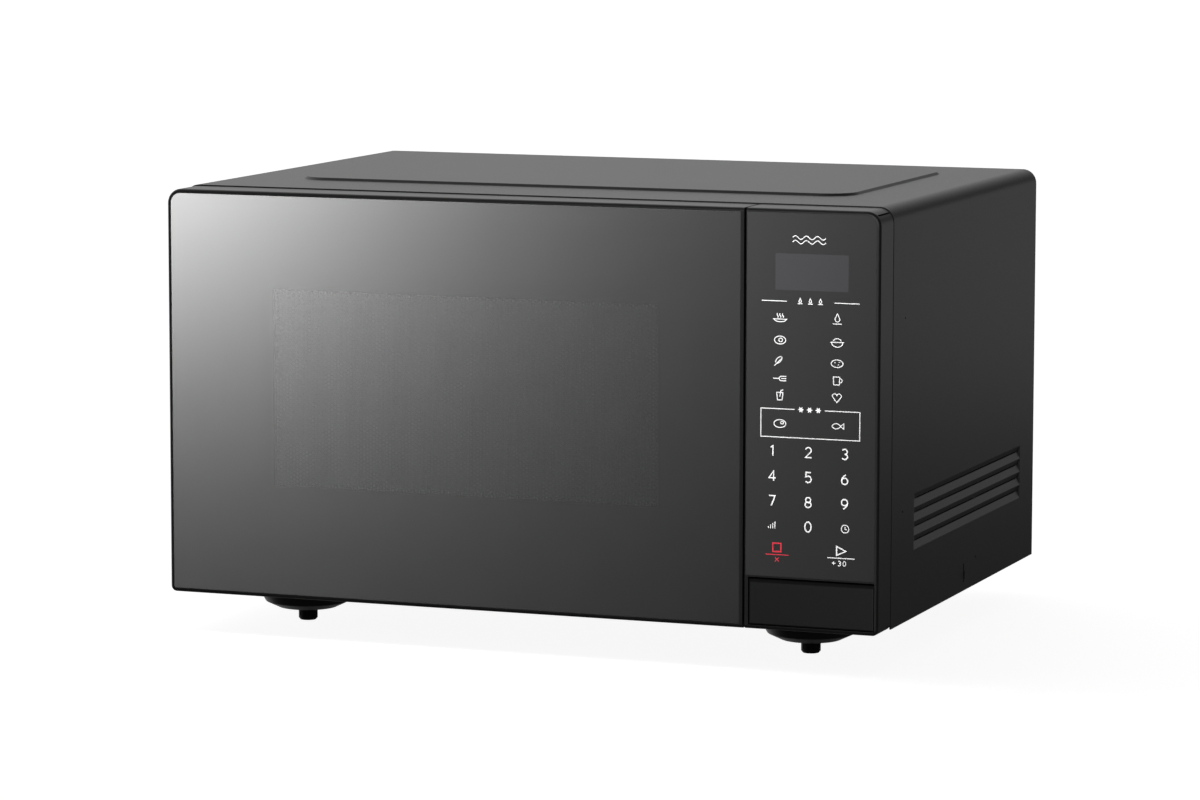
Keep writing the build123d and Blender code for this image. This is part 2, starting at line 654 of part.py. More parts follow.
CUTOUT_R, CUTOUT_DEPTH = 8.0, 7.0
CAVITY_CUTOUT = (290.0, 200.0)
TUBE_CUTOUT = (444.0, 165.0)

with BuildPart() as thermal_cutouts:
    # One bears on the cavity wall and one on the magnetron's yoke, each on its clip.
    rod(side_plane(387.0), CAVITY_CUTOUT, CUTOUT_R, CUTOUT_DEPTH)
    block((387.0, 388.0), (280.0, 300.0), (194.0, 206.0))
    rod(floor_plane(YOKE_Z[1]), TUBE_CUTOUT, CUTOUT_R, CUTOUT_DEPTH)
    block((434.0, 454.0), (159.0, 171.0), (YOKE_Z[1], YOKE_Z[1] + 1.0))
    for terminal in (-4.0, 2.0):
        y, x = CAVITY_CUTOUT[0] + terminal, TUBE_CUTOUT[0] + terminal
        block((394.0, 401.0), (y, y + 2.0), (197.0, 203.0))
        block((x, x + 2.0), (162.0, 168.0), (YOKE_Z[1] + CUTOUT_DEPTH, YOKE_Z[1] + 14.0))
finish(thermal_cutouts, "thermal_cutouts")

with BuildPart() as humidity_sensor:
    block((17.0, 33.0), (300.0, 324.0), (216.0, 242.0))
    fillet(humidity_sensor.edges().filter_by(Axis.X), 3.0)
    rod(side_plane(10.0), (312.0, 229.0), 7.0, 7.0)
finish(humidity_sensor, "humidity_sensor")

# ---------------------------------------------------------------- turntable
MOTOR_R = 24.0
MOTOR_SHAFT_R = 3.5
COUPLER_Z = (CAVITY_Z[0] + 1.0, CAVITY_Z[0] + 15.0)
TRAY_Z = AXLE_Z + WHEEL_R + 0.4

with BuildPart() as turntable_motor:
    rod(floor_plane(22.0), (TURN_X, TURN_Y), MOTOR_R, 16.5)
    fillet(turntable_motor.faces().sort_by(Axis.Z)[0].edges(), 2.0)
    block((TURN_X - 35, TURN_X + 35), (TURN_Y - 6, TURN_Y + 6), (37.5, 39.0))
    block((TURN_X - 12, TURN_X + 12), (TURN_Y + 22, TURN_Y + 34), (24.0, 36.0))
    rod(floor_plane(38.0), (TURN_X, TURN_Y), MOTOR_SHAFT_R, 13.0)
finish(turntable_motor, "turntable_motor")

with BuildPart() as turntable_coupler:
    rod(floor_plane(COUPLER_Z[0]), (TURN_X, TURN_Y), 8.0, COUPLER_Z[1] - COUPLER_Z[0])
    with BuildSketch(floor_plane(COUPLER_Z[1] - 6.0)) as lobes:
        with Locations((TURN_X, TURN_Y)):
            with PolarLocations(8.0, 3, start_angle=90):
                SlotOverall(14.0, 6.0)
    extrude(to_extrude=lobes.sketch, amount=6.0)
    fillet(turntable_coupler.faces().sort_by(Axis.Z)[-1].edges(), 0.8)
    rod(
        floor_plane(COUPLER_Z[0] - 1), (TURN_X, TURN_Y), MOTOR_SHAFT_R + FIT, 11.6, Mode.SUBTRACT
    )
finish(turntable_coupler, "turntable_coupler")

with BuildPart() as glass_tray:
    turned(
        (
            (0, TRAY_Z),
            (TRAY_R - 16, TRAY_Z),
            (TRAY_R - 7, TRAY_Z + 2.5),
            (TRAY_R, TRAY_Z + 11),
            (TRAY_R - 3, TRAY_Z + 11.5),
            (TRAY_R - 10, TRAY_Z + 6),
            (TRAY_R - 18, TRAY_Z + 4.5),
            (0, TRAY_Z + 4.5),
        ),
        TURN_X,
        TURN_Y,
    )
    with BuildSketch(floor_plane(COUPLER_Z[1] - 3.0)) as lugs:
        with Locations((TURN_X, TURN_Y)):
            with PolarLocations(13.0, 3, start_angle=30):
                Circle(3.0)
    extrude(to_extrude=lugs.sketch, amount=TRAY_Z - COUPLER_Z[1] + 4.0)
finish(glass_tray, "glass_tray")

RIM = (96.0, 101.0)
WHEEL_SPAN = (105.0, 113.0)


def radial_plane(angle, distance):
    """Stands square to a spoke of the roller ring, at a distance from the turntable's axis."""
    turn = radians(angle)
    centre = (
        LEFT + TURN_X + distance * cos(turn),
        FRONT + TURN_Y + distance * sin(turn),
        BASE + AXLE_Z,
    )
    return Plane(origin=centre, x_dir=(0, 0, 1), z_dir=(cos(turn), sin(turn), 0))


WHEEL_ANGLES = (90, 210, 330)

with BuildPart() as roller_ring:
    rod(floor_plane(AXLE_Z - 2.6), (TURN_X, TURN_Y), RIM[1], 5.2)
    rod(floor_plane(AXLE_Z - 3.6), (TURN_X, TURN_Y), RIM[0], 7.2, mode=Mode.SUBTRACT)
    for angle in WHEEL_ANGLES:
        rod(radial_plane(angle, RIM[0] + 2.0), (0, 0), 4.5, WHEEL_SPAN[0] - RIM[0] - 2.5)
        rod(radial_plane(angle, RIM[0] + 2.0), (0, 0), WHEEL_AXLE_R, WHEEL_SPAN[1] - RIM[0])
        rod(radial_plane(angle, WHEEL_SPAN[1] + 0.5), (0, 0), 3.2, 1.6)
finish(roller_ring, "roller_ring")

for number, angle in enumerate(WHEEL_ANGLES, start=1):
    with BuildPart() as wheel:
        rod(radial_plane(angle, WHEEL_SPAN[0]), (0, 0), WHEEL_R, WHEEL_SPAN[1] - WHEEL_SPAN[0])
        fillet(wheel.edges(), 1.0)
        rod(radial_plane(angle, WHEEL_SPAN[0] - 1), (0, 0), WHEEL_AXLE_R + FIT, 12.0, Mode.SUBTRACT)
        # Face recesses and spoke holes.
        for face, way in ((WHEEL_SPAN[0], 1), (WHEEL_SPAN[1], -1)):
            with BuildSketch(radial_plane(angle, face)) as recess:
                Circle(WHEEL_R - 2.0)
                Circle(4.4, mode=Mode.SUBTRACT)
            extrude(to_extrude=recess.sketch, amount=way * 2.0, mode=Mode.SUBTRACT)
    finish(wheel, f"roller_wheel_{number}")

# ---------------------------------------------------------------- control panel
PANEL_X = (PANEL_LEFT, WIDTH)
BUTTON_BAY_X = (423.2, 510.8)
BUTTON_BAY_Z = (2.7, 35.0)
OVERLAY_X = (421.4, 510.4)
OVERLAY_Z = (36.2, 277.4)
OVERLAY = 1.2
DISPLAY_X = (441.1, 491.4)
DISPLAY_Z = (226.7, 250.8)
FACE = 4.0

with BuildPart() as control_panel_housing:
    plate(
        front_plane(0), PANEL_X, (0, BODY_HEIGHT), (0, LOWER_CORNER, UPPER_CORNER, 0), -FRONT_UNIT_DEPTH
    )
    panel_front = control_panel_housing.faces().sort_by(Axis.Y)[0]
    fillet(panel_front.edges().sort_by(Axis.X)[1:], EDGE_ROUND)
    block(
        (PANEL_LEFT + SKIN, WIDTH - SKIN),
        (FACE, FRONT_UNIT_DEPTH + 1),
        (38.0, BODY_HEIGHT - SKIN),
        mode=Mode.SUBTRACT,
    )
    block(BUTTON_BAY_X, (-1, FRONT_UNIT_DEPTH + 1), BUTTON_BAY_Z, mode=Mode.SUBTRACT)
    # Recesses for the printed overlay and the key film, and the display opening.
    plate(front_plane(-1), OVERLAY_X, OVERLAY_Z, (0.6, 0.6, 7.4, 0.6), -1 - OVERLAY, Mode.SUBTRACT)
    block((430.0, 503.0), (0, OVERLAY + 0.6), (42.0, 222.0), mode=Mode.SUBTRACT)
    block((439.5, 493.0), (0, FACE + 1), (225.0, 252.5), mode=Mode.SUBTRACT)
    # Shelf above the button, spring wall behind it and the board's screw posts.
    block((440.0, 507.0), (22.0, 24.0), (2.0, 36.0))
    for post_x in (429.0, 505.0):
        for post_z in (58.0, 262.0):
            rod(front_plane(FACE), (post_x, post_z), 3.5, -8.0)
finish(control_panel_housing, "control_panel_housing")

with BuildPart() as control_panel_overlay:
    plate(front_plane(0), OVERLAY_X, OVERLAY_Z, (0.6, 0.6, 7.4, 0.6), -OVERLAY)
    block(DISPLAY_X, (-1, OVERLAY + 1), DISPLAY_Z, mode=Mode.SUBTRACT)
finish(control_panel_overlay, "control_panel_overlay")

with BuildPart() as display_window:
    block(DISPLAY_X, (0, OVERLAY), DISPLAY_Z)
finish(display_window, "display_window")

with BuildPart() as keypad_membrane:
    block((430.4, 502.6), (OVERLAY, OVERLAY + 0.5), (42.4, 221.6))
    block((455.0, 478.0), (OVERLAY, OVERLAY + 0.5), (38.5, 44.0))
    block((455.0, 478.0), (OVERLAY, OVERLAY + 0.5), (38.0, 42.4), mode=Mode.SUBTRACT)
finish(keypad_membrane, "keypad_membrane")

BOARD_Y = (12.0, 13.6)

with BuildPart() as control_board:
    block((425.5, 508.5), BOARD_Y, (54.0, 266.0))
    for relay_z in (70.0, 96.0):
        block((432.0, 452.0), (BOARD_Y[1], 27.0), (relay_z, relay_z + 18.0))
    block((470.0, 490.0), (BOARD_Y[1], 24.0), (70.0, 100.0))
    rod(front_plane(BOARD_Y[1]), (490.0, 130.0), 7.0, -9.0)
    block((440.0, 462.0), (BOARD_Y[1], 17.0), (150.0, 172.0))
    block((480.0, 504.0), (BOARD_Y[1], 22.0), (180.0, 190.0))
finish(control_board, "control_board")

with BuildPart() as display_module:
    block((442.0, 490.5), (2.5, BOARD_Y[0]), (227.5, 250.0))
finish(display_module, "display_module")

# ---------------------------------------------------------------- door-open button and lever
BUTTON_X = (423.6, 510.4)
BUTTON_Z = (3.1, 33.4)
SPRING_X, SPRING_Z = 472.0, 18.0

with BuildPart() as door_button:
    block(BUTTON_X, (0.2, 14.0), BUTTON_Z)
    front_edges = door_button.faces().sort_by(Axis.Y)[0].edges().sort_by(Axis.Z)
    chamfer(front_edges[-1], 2.0)
    fillet(door_button.faces().sort_by(Axis.Y)[0].edges().sort_by(Axis.Z)[:3], 1.0)
    block(
        (BUTTON_X[0] + 2, BUTTON_X[1] - 2),
        (3.2, 15.0),
        (BUTTON_Z[0] + 2, BUTTON_Z[1] - 2.4),
        mode=Mode.SUBTRACT,
    )
    rod(front_plane(3.0), (SPRING_X, SPRING_Z), 3.4, -8.0)
    block(PLUNGER_X, (3.0, 33.4), PLUNGER_Z)
finish(door_button, "door_button")

with BuildPart() as button_spring:
    coil((LEFT + SPRING_X, FRONT + 4.2, BASE + SPRING_Z), (0, 1, 0), 4.6, 0.4, 17.0, 6)
finish(button_spring, "button_spring")

with BuildPart() as release_lever:
    pivot = (LEVER_Y, LEVER_Z)
    rod(side_plane(396.0), pivot, LEVER_SHAFT_R, 41.0)
    rod(side_plane(399.0), pivot, 4.5, 8.0)
    rod(side_plane(424.0), pivot, 4.5, 8.0)
    block((399.0, 407.0), (LEVER_Y, 53.0), (40.0, 44.0))
    block((399.0, 407.0), (50.0, 53.0), (40.0, 50.9))
    block((424.0, 432.0), (34.0, 38.0), (19.0, LEVER_Z))
finish(release_lever, "release_lever")

with BuildPart() as interlock_bracket:
    block((412.0, 415.0), (31.0, 80.0), (34.0, 238.0))
    for hook_z in HOOK_HEIGHTS:
        block((397.0, 412.0), (34.0, 45.2), (hook_z - 10.0, hook_z - 4.8))
        block((409.5, 412.0), (31.0, 45.2), (hook_z - 10.0, hook_z + 12.0))
    block((392.2, 412.0), (31.0, 33.0), (100.0, 190.0))
    block((415.0, 437.0), (31.0, 33.0), (47.5, 56.0))
    block((434.0, 437.0), (31.0, 41.0), (36.0, 56.0))
    rod(side_plane(411.0), (LEVER_Y, LEVER_Z), LEVER_SHAFT_R + FIT, 30.0, mode=Mode.SUBTRACT)
finish(interlock_bracket, "interlock_bracket")

with BuildPart() as interlock_switches:
    for switch_z in (HOOK_HEIGHTS[0] - 4.0, HOOK_HEIGHTS[0] + 28.0, HOOK_HEIGHTS[1] - 12.0):
        block((401.5, 412.0), (58.0, 74.0), (switch_z, switch_z + 27.0))
        block((405.0, 408.5), (56.8, 58.0), (switch_z + 6.0, switch_z + 22.0))
        for terminal in (5.0, 13.0, 21.0):
            terminal_z = switch_z + terminal
            block((404.0, 410.0), (74.0, 82.0), (terminal_z, terminal_z + 0.8))
finish(interlock_switches, "interlock_switches")

# ---------------------------------------------------------------- door
GLASS_X = (2.9, 416.7)
GLASS_Z = (2.9, 277.1)
GLASS_Y = (0.3, 3.5)
WEB_Y = (3.6, 6.6)
POCKET = TONGUE_GAP
DOOR_SCREWS = ((11.0, 44.0), (11.0, 236.0), (411.5, 20.0), (411.5, 262.0))
COVER_Y = (25.5, 28.5)


def tongue_pocket(tongue_z, mode=Mode.SUBTRACT):
    """Room for a hinge tongue while the door swings round it."""
    block(
        (-1.0, HINGE_X + 7.0),
        (HINGE_Y - 6.6, FRONT_UNIT_DEPTH + 1),
        (tongue_z - POCKET, tongue_z + TONGUE + POCKET),
        mode=mode,
    )


with BuildPart() as door_frame:
    plate(
        front_plane(0),
        (0, DOOR_WIDTH),
        (0, BODY_HEIGHT),
        (LOWER_CORNER, 0, 0, UPPER_CORNER),
        -FRONT_UNIT_DEPTH,
    )
    door_front = door_frame.faces().sort_by(Axis.Y)[0]
    fillet(door_front.edges().sort_by(Axis.X)[:-1], EDGE_ROUND)
    # Seat of the glass, the pocket behind the web and the window.
    plate(
        front_plane(-1),
        (GLASS_X[0] - 0.1, GLASS_X[1] + 0.1),
        (GLASS_Z[0] - 0.1, GLASS_Z[1] + 0.1),
        (1.5, 0.5, 0.5, 7.2),
        -1 - WEB_Y[0],
        Mode.SUBTRACT,
    )
    block(
        (SKIN, DOOR_WIDTH - SKIN),
        (WEB_Y[1], FRONT_UNIT_DEPTH + 1),
        (SKIN, BODY_HEIGHT - SKIN),
        mode=Mode.SUBTRACT,
    )
    plate(front_plane(3), (40.0, 384.0), (36.0, 246.0), (8,) * 4, -5, Mode.SUBTRACT)
    rear_edge = door_frame.edges().filter_by(Axis.Z).group_by(Axis.X)[0].sort_by(Axis.Y)[-1]
    fillet(rear_edge, SKIN - 0.2)
    # Hinge bosses, screw posts and the latch spring's peg.
    block((1.0, 14.0), (8.0, 25.0), (LOWER_TONGUE_Z, 24.0))
    block((1.0, 14.0), (8.0, 25.0), (256.0, UPPER_TONGUE_Z + TONGUE))
    for spot in DOOR_SCREWS:
        rod(front_plane(WEB_Y[0]), spot, 4.0, WEB_Y[0] - COVER_Y[0])
        rod(front_plane(12.0), spot, 1.6 + FIT, -20.0, mode=Mode.SUBTRACT)
    block((399.0, 407.0), (WEB_Y[0], 19.0), (18.0, 22.0))
    for boss_z in ((LOWER_TONGUE_Z + TONGUE, 25.0), (255.0, UPPER_TONGUE_Z)):
        rod(
            floor_plane(boss_z[0]),
            (HINGE_X, HINGE_Y),
            HINGE_PIN_R + FIT,
            boss_z[1] - boss_z[0],
            Mode.SUBTRACT,
        )
    tongue_pocket(LOWER_TONGUE_Z)
    tongue_pocket(UPPER_TONGUE_Z)
finish(door_frame, "door_frame")

with BuildPart() as door_glass:
    plate(
        front_plane(GLASS_Y[0]), GLASS_X, GLASS_Z, (1.4, 0.4, 0.4, 7.1), GLASS_Y[0] - GLASS_Y[1]
    )
finish(door_glass, "door_glass")

CHOKE_X = (24.0, 394.0)
CHOKE_Z = (18.0, 262.0)

with BuildPart() as door_screen:
    # Stamped steel panel: flat perforated field, with the choke channel folded back round it.
    plate(front_plane(7.0), CHOKE_X, CHOKE_Z, (6,) * 4, -SHEET)
    plate(front_plane(8.0), CHOKE_X, CHOKE_Z, (6,) * 4, -15.0)
    inner_x, inner_z = (CHOKE_X[0] + 1, CHOKE_X[1] - 1), (CHOKE_Z[0] + 1, CHOKE_Z[1] - 1)
    plate(front_plane(8.0), inner_x, inner_z, (5,) * 4, -16.0, Mode.SUBTRACT)
    rim_x, rim_z = (50.0, 370.0), (54.0, 236.0)
    plate(front_plane(8.0), rim_x, rim_z, (6,) * 4, -15.0)
    well_x, well_z = (51.0, 369.0), (55.0, 235.0)
    plate(front_plane(8.0), well_x, well_z, (5,) * 4, -16.0, Mode.SUBTRACT)
finish(door_screen, "door_screen")

with BuildPart() as door_choke_cover:
    plate(
        front_plane(COVER_Y[0]), (2.7, 416.5), (2.7, 277.3), (2, 1, 1, 7.4), COVER_Y[0] - COVER_Y[1]
    )
    plate(front_plane(25.0), (55.0, 365.0), (59.0, 231.0), (10,) * 4, -5, Mode.SUBTRACT)
    for hook_z in HOOK_HEIGHTS:
        block((399.6, 406.4), (24.0, 30.0), (hook_z - 9.5, hook_z + 8.5), mode=Mode.SUBTRACT)
    for spot in DOOR_SCREWS:
        rod(front_plane(24.0), spot, 1.6 + FIT, -6.0, mode=Mode.SUBTRACT)
        rod(front_plane(27.0), spot, 3.4, -3.0, mode=Mode.SUBTRACT)
    tongue_pocket(LOWER_TONGUE_Z)
    tongue_pocket(UPPER_TONGUE_Z)
finish(door_choke_cover, "door_choke_cover")

with BuildPart() as door_inner_window:
    plate(front_plane(23.6), (46.0, 374.0), (50.0, 240.0), (8,) * 4, -1.8)
finish(door_inner_window, "door_inner_window")

with BuildPart() as door_screws:
    for spot in DOOR_SCREWS:
        rod(front_plane(27.0), spot, 3.2, -1.2)
        rod(front_plane(13.0), spot, 1.6, -14.5)
finish(door_screws, "door_screws")

with BuildPart() as door_hook:
    block((399.0, 407.0), (12.0, 19.0), (46.0, 228.0))
    for hook_z in HOOK_HEIGHTS:
        block(HOOK_X, (18.0, 56.0), (hook_z - 4.0, hook_z + 2.0))
        block(HOOK_X, (46.0, 56.0), (hook_z - 8.5, hook_z))
        tip_z = hook_z - 8.5
        with BuildSketch(side_plane(HOOK_X[0] - 1)) as ramp:
            with BuildLine():
                Polyline((53.5, tip_z), (57, tip_z), (57, tip_z + 7.0), (56, tip_z + 5.5), close=True)
            make_face()
        extrude(to_extrude=ramp.sketch, amount=6.0, mode=Mode.SUBTRACT)
finish(door_hook, "door_hook")

with BuildPart() as latch_spring:
    coil((LEFT + 403.0, FRONT + 15.5, BASE + 22.5), (0, 0, 1), 2.6, 0.35, 23.0, 9)
finish(latch_spring, "latch_spring")
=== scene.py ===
import json
import math

import bmesh
import bpy
from mathutils import Matrix, Vector


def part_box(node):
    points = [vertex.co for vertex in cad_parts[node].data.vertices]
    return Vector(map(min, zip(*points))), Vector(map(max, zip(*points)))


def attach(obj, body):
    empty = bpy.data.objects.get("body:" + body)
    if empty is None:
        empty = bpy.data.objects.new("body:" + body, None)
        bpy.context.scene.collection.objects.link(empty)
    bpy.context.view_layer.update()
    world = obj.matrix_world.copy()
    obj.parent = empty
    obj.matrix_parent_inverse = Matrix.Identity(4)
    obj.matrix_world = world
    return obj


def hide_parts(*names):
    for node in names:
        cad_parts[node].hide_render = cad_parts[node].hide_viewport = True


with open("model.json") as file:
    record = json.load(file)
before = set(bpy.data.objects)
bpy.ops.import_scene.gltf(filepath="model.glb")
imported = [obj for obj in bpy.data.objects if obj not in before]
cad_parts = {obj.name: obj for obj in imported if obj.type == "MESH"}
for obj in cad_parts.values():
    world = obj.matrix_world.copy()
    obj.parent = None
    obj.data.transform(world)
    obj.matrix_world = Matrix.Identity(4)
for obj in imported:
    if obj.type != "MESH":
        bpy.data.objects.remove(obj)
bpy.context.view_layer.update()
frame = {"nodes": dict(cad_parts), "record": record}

MM = 0.001

# ---------------------------------------------------------------- where things are
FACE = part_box("door_frame")
LEFT, FRONT, BASE = FACE[0].x, FACE[0].y, FACE[0].z
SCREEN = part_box("door_screen")


def case(x, y, z):
    """A point from millimetres right of the door's left edge, behind its face and above its foot."""
    return Vector((LEFT + x * MM, FRONT + y * MM, BASE + z * MM))


# The perforated window, in case millimetres.
WINDOW_X = (79.5, 358.7)
WINDOW_Z = (78.0, 213.5)
SCREEN_DEPTH = 7.0
SCREEN_BACK = 23.0
HOLE_PITCH = 2.75
HOLE_RADIUS = 0.92
HOLE_SIDES = 6
SCREEN_CORNER = 6.0
RIM_X = (50.0, 370.0)
RIM_Z = (54.0, 236.0)
BORDER_LAP = 0.6
BORDER_CORNER = 0.8
BORDER_SETBACK = 0.05
RIM_SETBACK = 0.4
SCREEN_SHEET = 0.7
FILM_MARGIN = 6.0
FILM_TOP_MARGIN = 7.0
FILM_CORNER = 4.0
FILM_SETBACK = 0.55
FILM_SHEET = 0.2

# The glass: the depth halfway through it, how opaque its window is, and how soft its edge is.
GLASS_MIDDLE = 1.9
SMOKE = 0.45
WINDOW_SOFTNESS = 1.2

# ---------------------------------------------------------------- camera, floor and lights
AIM = Vector((-0.01434, 0.0, 0.14759))
CAMERA_DISTANCE = 3.45775
CAMERA_AZIMUTH = math.radians(20.634)
CAMERA_ELEVATION = math.radians(7.120)
CAMERA_ROLL = math.radians(0.082)
LENS_MM = 145.70

BRIGHT_QUARTER = Vector((-0.75, 0.60, 0.35))
SKY_DIM = 0.045
SKY_BRIGHT = 1.08


def make_camera():
    """The camera looks at the aim point from the front right, slightly above."""
    flat = math.cos(CAMERA_ELEVATION)
    back = Vector(
        (math.sin(CAMERA_AZIMUTH) * flat, -math.cos(CAMERA_AZIMUTH) * flat, math.sin(CAMERA_ELEVATION))
    )
    data = bpy.data.cameras.new("camera")
    data.lens = LENS_MM
    data.sensor_width = 36.0
    data.clip_end = 50.0
    camera = bpy.data.objects.new("camera", data)
    bpy.context.scene.collection.objects.link(camera)
    turn = back.to_track_quat("Z", "Y").to_matrix().to_4x4()
    roll = Matrix.Rotation(CAMERA_ROLL, 4, "Z")
    camera.matrix_world = Matrix.Translation(AIM + back * CAMERA_DISTANCE) @ turn @ roll
    bpy.context.scene.camera = camera


def area_light(name, place, target, size, watts):
    """A soft rectangular lamp that the camera itself doesn't see."""
    data = bpy.data.lights.new(name, "AREA")
    data.shape = "RECTANGLE"
    data.size, data.size_y = size
    data.energy = watts
    lamp = bpy.data.objects.new(name, data)
    bpy.context.scene.collection.objects.link(lamp)
    direction = Vector(target) - Vector(place)
    lamp.rotation_euler = direction.to_track_quat("-Z", "Y").to_euler()
    lamp.location = place
    lamp.visible_camera = False
    return lamp


def light_only(lamp, pieces, blockers=()):
    """Keeps a lamp, flagged off like a studio panel, to some pieces and to the shadows of others."""
    lit = bpy.data.collections.new(f"{lamp.name}_receivers")
    for piece in pieces:
        lit.objects.link(piece)
    lamp.light_linking.receiver_collection = lit
    if blockers:
        shading = bpy.data.collections.new(f"{lamp.name}_blockers")
        for piece in blockers:
            shading.objects.link(piece)
        lamp.light_linking.blocker_collection = shading


def make_world():
    """A white surround for the camera, and a dim sky with a bright quarter behind the oven's left."""
    world = bpy.data.worlds.new("studio")
    world.use_nodes = True
    bpy.context.scene.world = world
    tree = world.node_tree
    tree.nodes.clear()
    out = tree.nodes.new("ShaderNodeOutputWorld")
    seen = tree.nodes.new("ShaderNodeBackground")
    seen.inputs["Color"].default_value = (1, 1, 1, 1)
    seen.inputs["Strength"].default_value = 1.0
    sky = tree.nodes.new("ShaderNodeBackground")
    where = tree.nodes.new("ShaderNodeTexCoord")
    toward = tree.nodes.new("ShaderNodeVectorMath")
    toward.operation = "DOT_PRODUCT"
    toward.inputs[1].default_value = BRIGHT_QUARTER.normalized()
    tree.links.new(where.outputs["Generated"], toward.inputs[0])
    level = tree.nodes.new("ShaderNodeMapRange")
    level.interpolation_type = "SMOOTHSTEP"
    level.inputs["From Min"].default_value = 0.3
    level.inputs["From Max"].default_value = 1.0
    level.inputs["To Min"].default_value = SKY_DIM
    level.inputs["To Max"].default_value = SKY_BRIGHT
    tree.links.new(toward.outputs["Value"], level.inputs["Value"])
    tree.links.new(level.outputs[0], sky.inputs["Strength"])
    path = tree.nodes.new("ShaderNodeLightPath")
    mix = tree.nodes.new("ShaderNodeMixShader")
    tree.links.new(path.outputs["Is Camera Ray"], mix.inputs[0])
    tree.links.new(sky.outputs[0], mix.inputs[1])
    tree.links.new(seen.outputs[0], mix.inputs[2])
    tree.links.new(mix.outputs[0], out.inputs[0])


def make_floor():
    """A plain pale floor, kept out of the reflections."""
    mesh = bpy.data.meshes.new("floor")
    reach = 14.0
    mesh.from_pydata(
        [(-reach, -reach, 0), (reach, -reach, 0), (reach, reach, 0), (-reach, reach, 0)],
        [],
        [(0, 1, 2, 3)],
    )
    floor = bpy.data.objects.new("floor", mesh)
    bpy.context.scene.collection.objects.link(floor)
    surface, shader = new_material("floor_white")
    shader.inputs["Base Color"].default_value = (0.5, 0.5, 0.5, 1)
    shader.inputs["Roughness"].default_value = 0.9
    shader.inputs["Specular IOR Level"].default_value = 0.1
    shader.inputs["Emission Color"].default_value = (1, 1, 1, 1)
    shader.inputs["Emission Strength"].default_value = 0.92
    mesh.materials.append(surface)
    floor.visible_glossy = False
    floor.visible_diffuse = False


# ---------------------------------------------------------------- materials
def new_material(name):
    """An empty node material, taking the slot's own if there is one, and its Principled shader."""
    made = bpy.data.materials.get(name) or bpy.data.materials.new(name)
    made.use_nodes = True
    tree = made.node_tree
    tree.nodes.clear()
    out = tree.nodes.new("ShaderNodeOutputMaterial")
    shader = tree.nodes.new("ShaderNodeBsdfPrincipled")
    tree.links.new(shader.outputs[0], out.inputs[0])
    return made, shader


def noise(tree, scale, detail=3.0, stretch=None):
    """Noise over the surface, in cycles per metre, optionally stretched along an axis."""
    node = tree.nodes.new("ShaderNodeTexNoise")
    node.inputs["Scale"].default_value = scale
    node.inputs["Detail"].default_value = detail
    source = tree.nodes.new("ShaderNodeTexCoord").outputs["Object"]
    if stretch:
        mapping = tree.nodes.new("ShaderNodeMapping")
        mapping.inputs["Scale"].default_value = stretch
        tree.links.new(source, mapping.inputs[0])
        source = mapping.outputs[0]
    tree.links.new(source, node.inputs["Vector"])
    return node.outputs["Fac"]


def spread(tree, value, low, high):
    """Maps a 0 to 1 value to a range of numbers or colours."""
    if isinstance(low, (int, float)):
        node = tree.nodes.new("ShaderNodeMapRange")
        node.inputs["To Min"].default_value = low
        node.inputs["To Max"].default_value = high
        tree.links.new(value, node.inputs["Value"])
        return node.outputs[0]
    node = tree.nodes.new("ShaderNodeMix")
    node.data_type = "RGBA"
    node.inputs["A"].default_value = (*low, 1)
    node.inputs["B"].default_value = (*high, 1)
    tree.links.new(value, node.inputs["Factor"])
    return node.outputs["Result"]


def math_node(tree, operation, first, second):
    """A two-input calculation; each input is a socket or a number."""
    node = tree.nodes.new("ShaderNodeMath")
    node.operation = operation
    for socket, value in zip(node.inputs, (first, second)):
        if isinstance(value, (int, float)):
            socket.default_value = value
        else:
            tree.links.new(value, socket)
    return node.outputs[0]


def grained(name, low, high, roughness, grain, depth, metallic=0.0, specular=0.5, stretch=None):
    """A surface with mottled colour, uneven roughness and a fine grain in relief."""
    made, shader = new_material(name)
    tree = made.node_tree
    mottle = noise(tree, 18.0, 5.0, stretch)
    tree.links.new(spread(tree, mottle, low, high), shader.inputs["Base Color"])
    fine = noise(tree, grain, 4.0, stretch)
    tree.links.new(spread(tree, fine, *roughness), shader.inputs["Roughness"])
    shader.inputs["Metallic"].default_value = metallic
    shader.inputs["Specular IOR Level"].default_value = specular
    bump = tree.nodes.new("ShaderNodeBump")
    bump.inputs["Strength"].default_value = 1.0
    bump.inputs["Distance"].default_value = depth
    tree.links.new(fine, bump.inputs["Height"])
    tree.links.new(bump.outputs[0], shader.inputs["Normal"])
    return made


def grey(level):
    """A neutral colour."""
    return (level, level, level)


def span(tree, coordinate, limits, softness):
    """1 between two limits of a coordinate, falling to 0 over the softness at each."""
    sides = []
    for limit, sign in ((limits[0], 1), (limits[1], -1)):
        node = tree.nodes.new("ShaderNodeMapRange")
        node.interpolation_type = "SMOOTHSTEP"
        node.inputs["From Min"].default_value = limit - sign * softness
        node.inputs["From Max"].default_value = limit + sign * softness
        tree.links.new(coordinate, node.inputs["Value"])
        sides.append(node.outputs[0])
    return math_node(tree, "MULTIPLY", *sides)


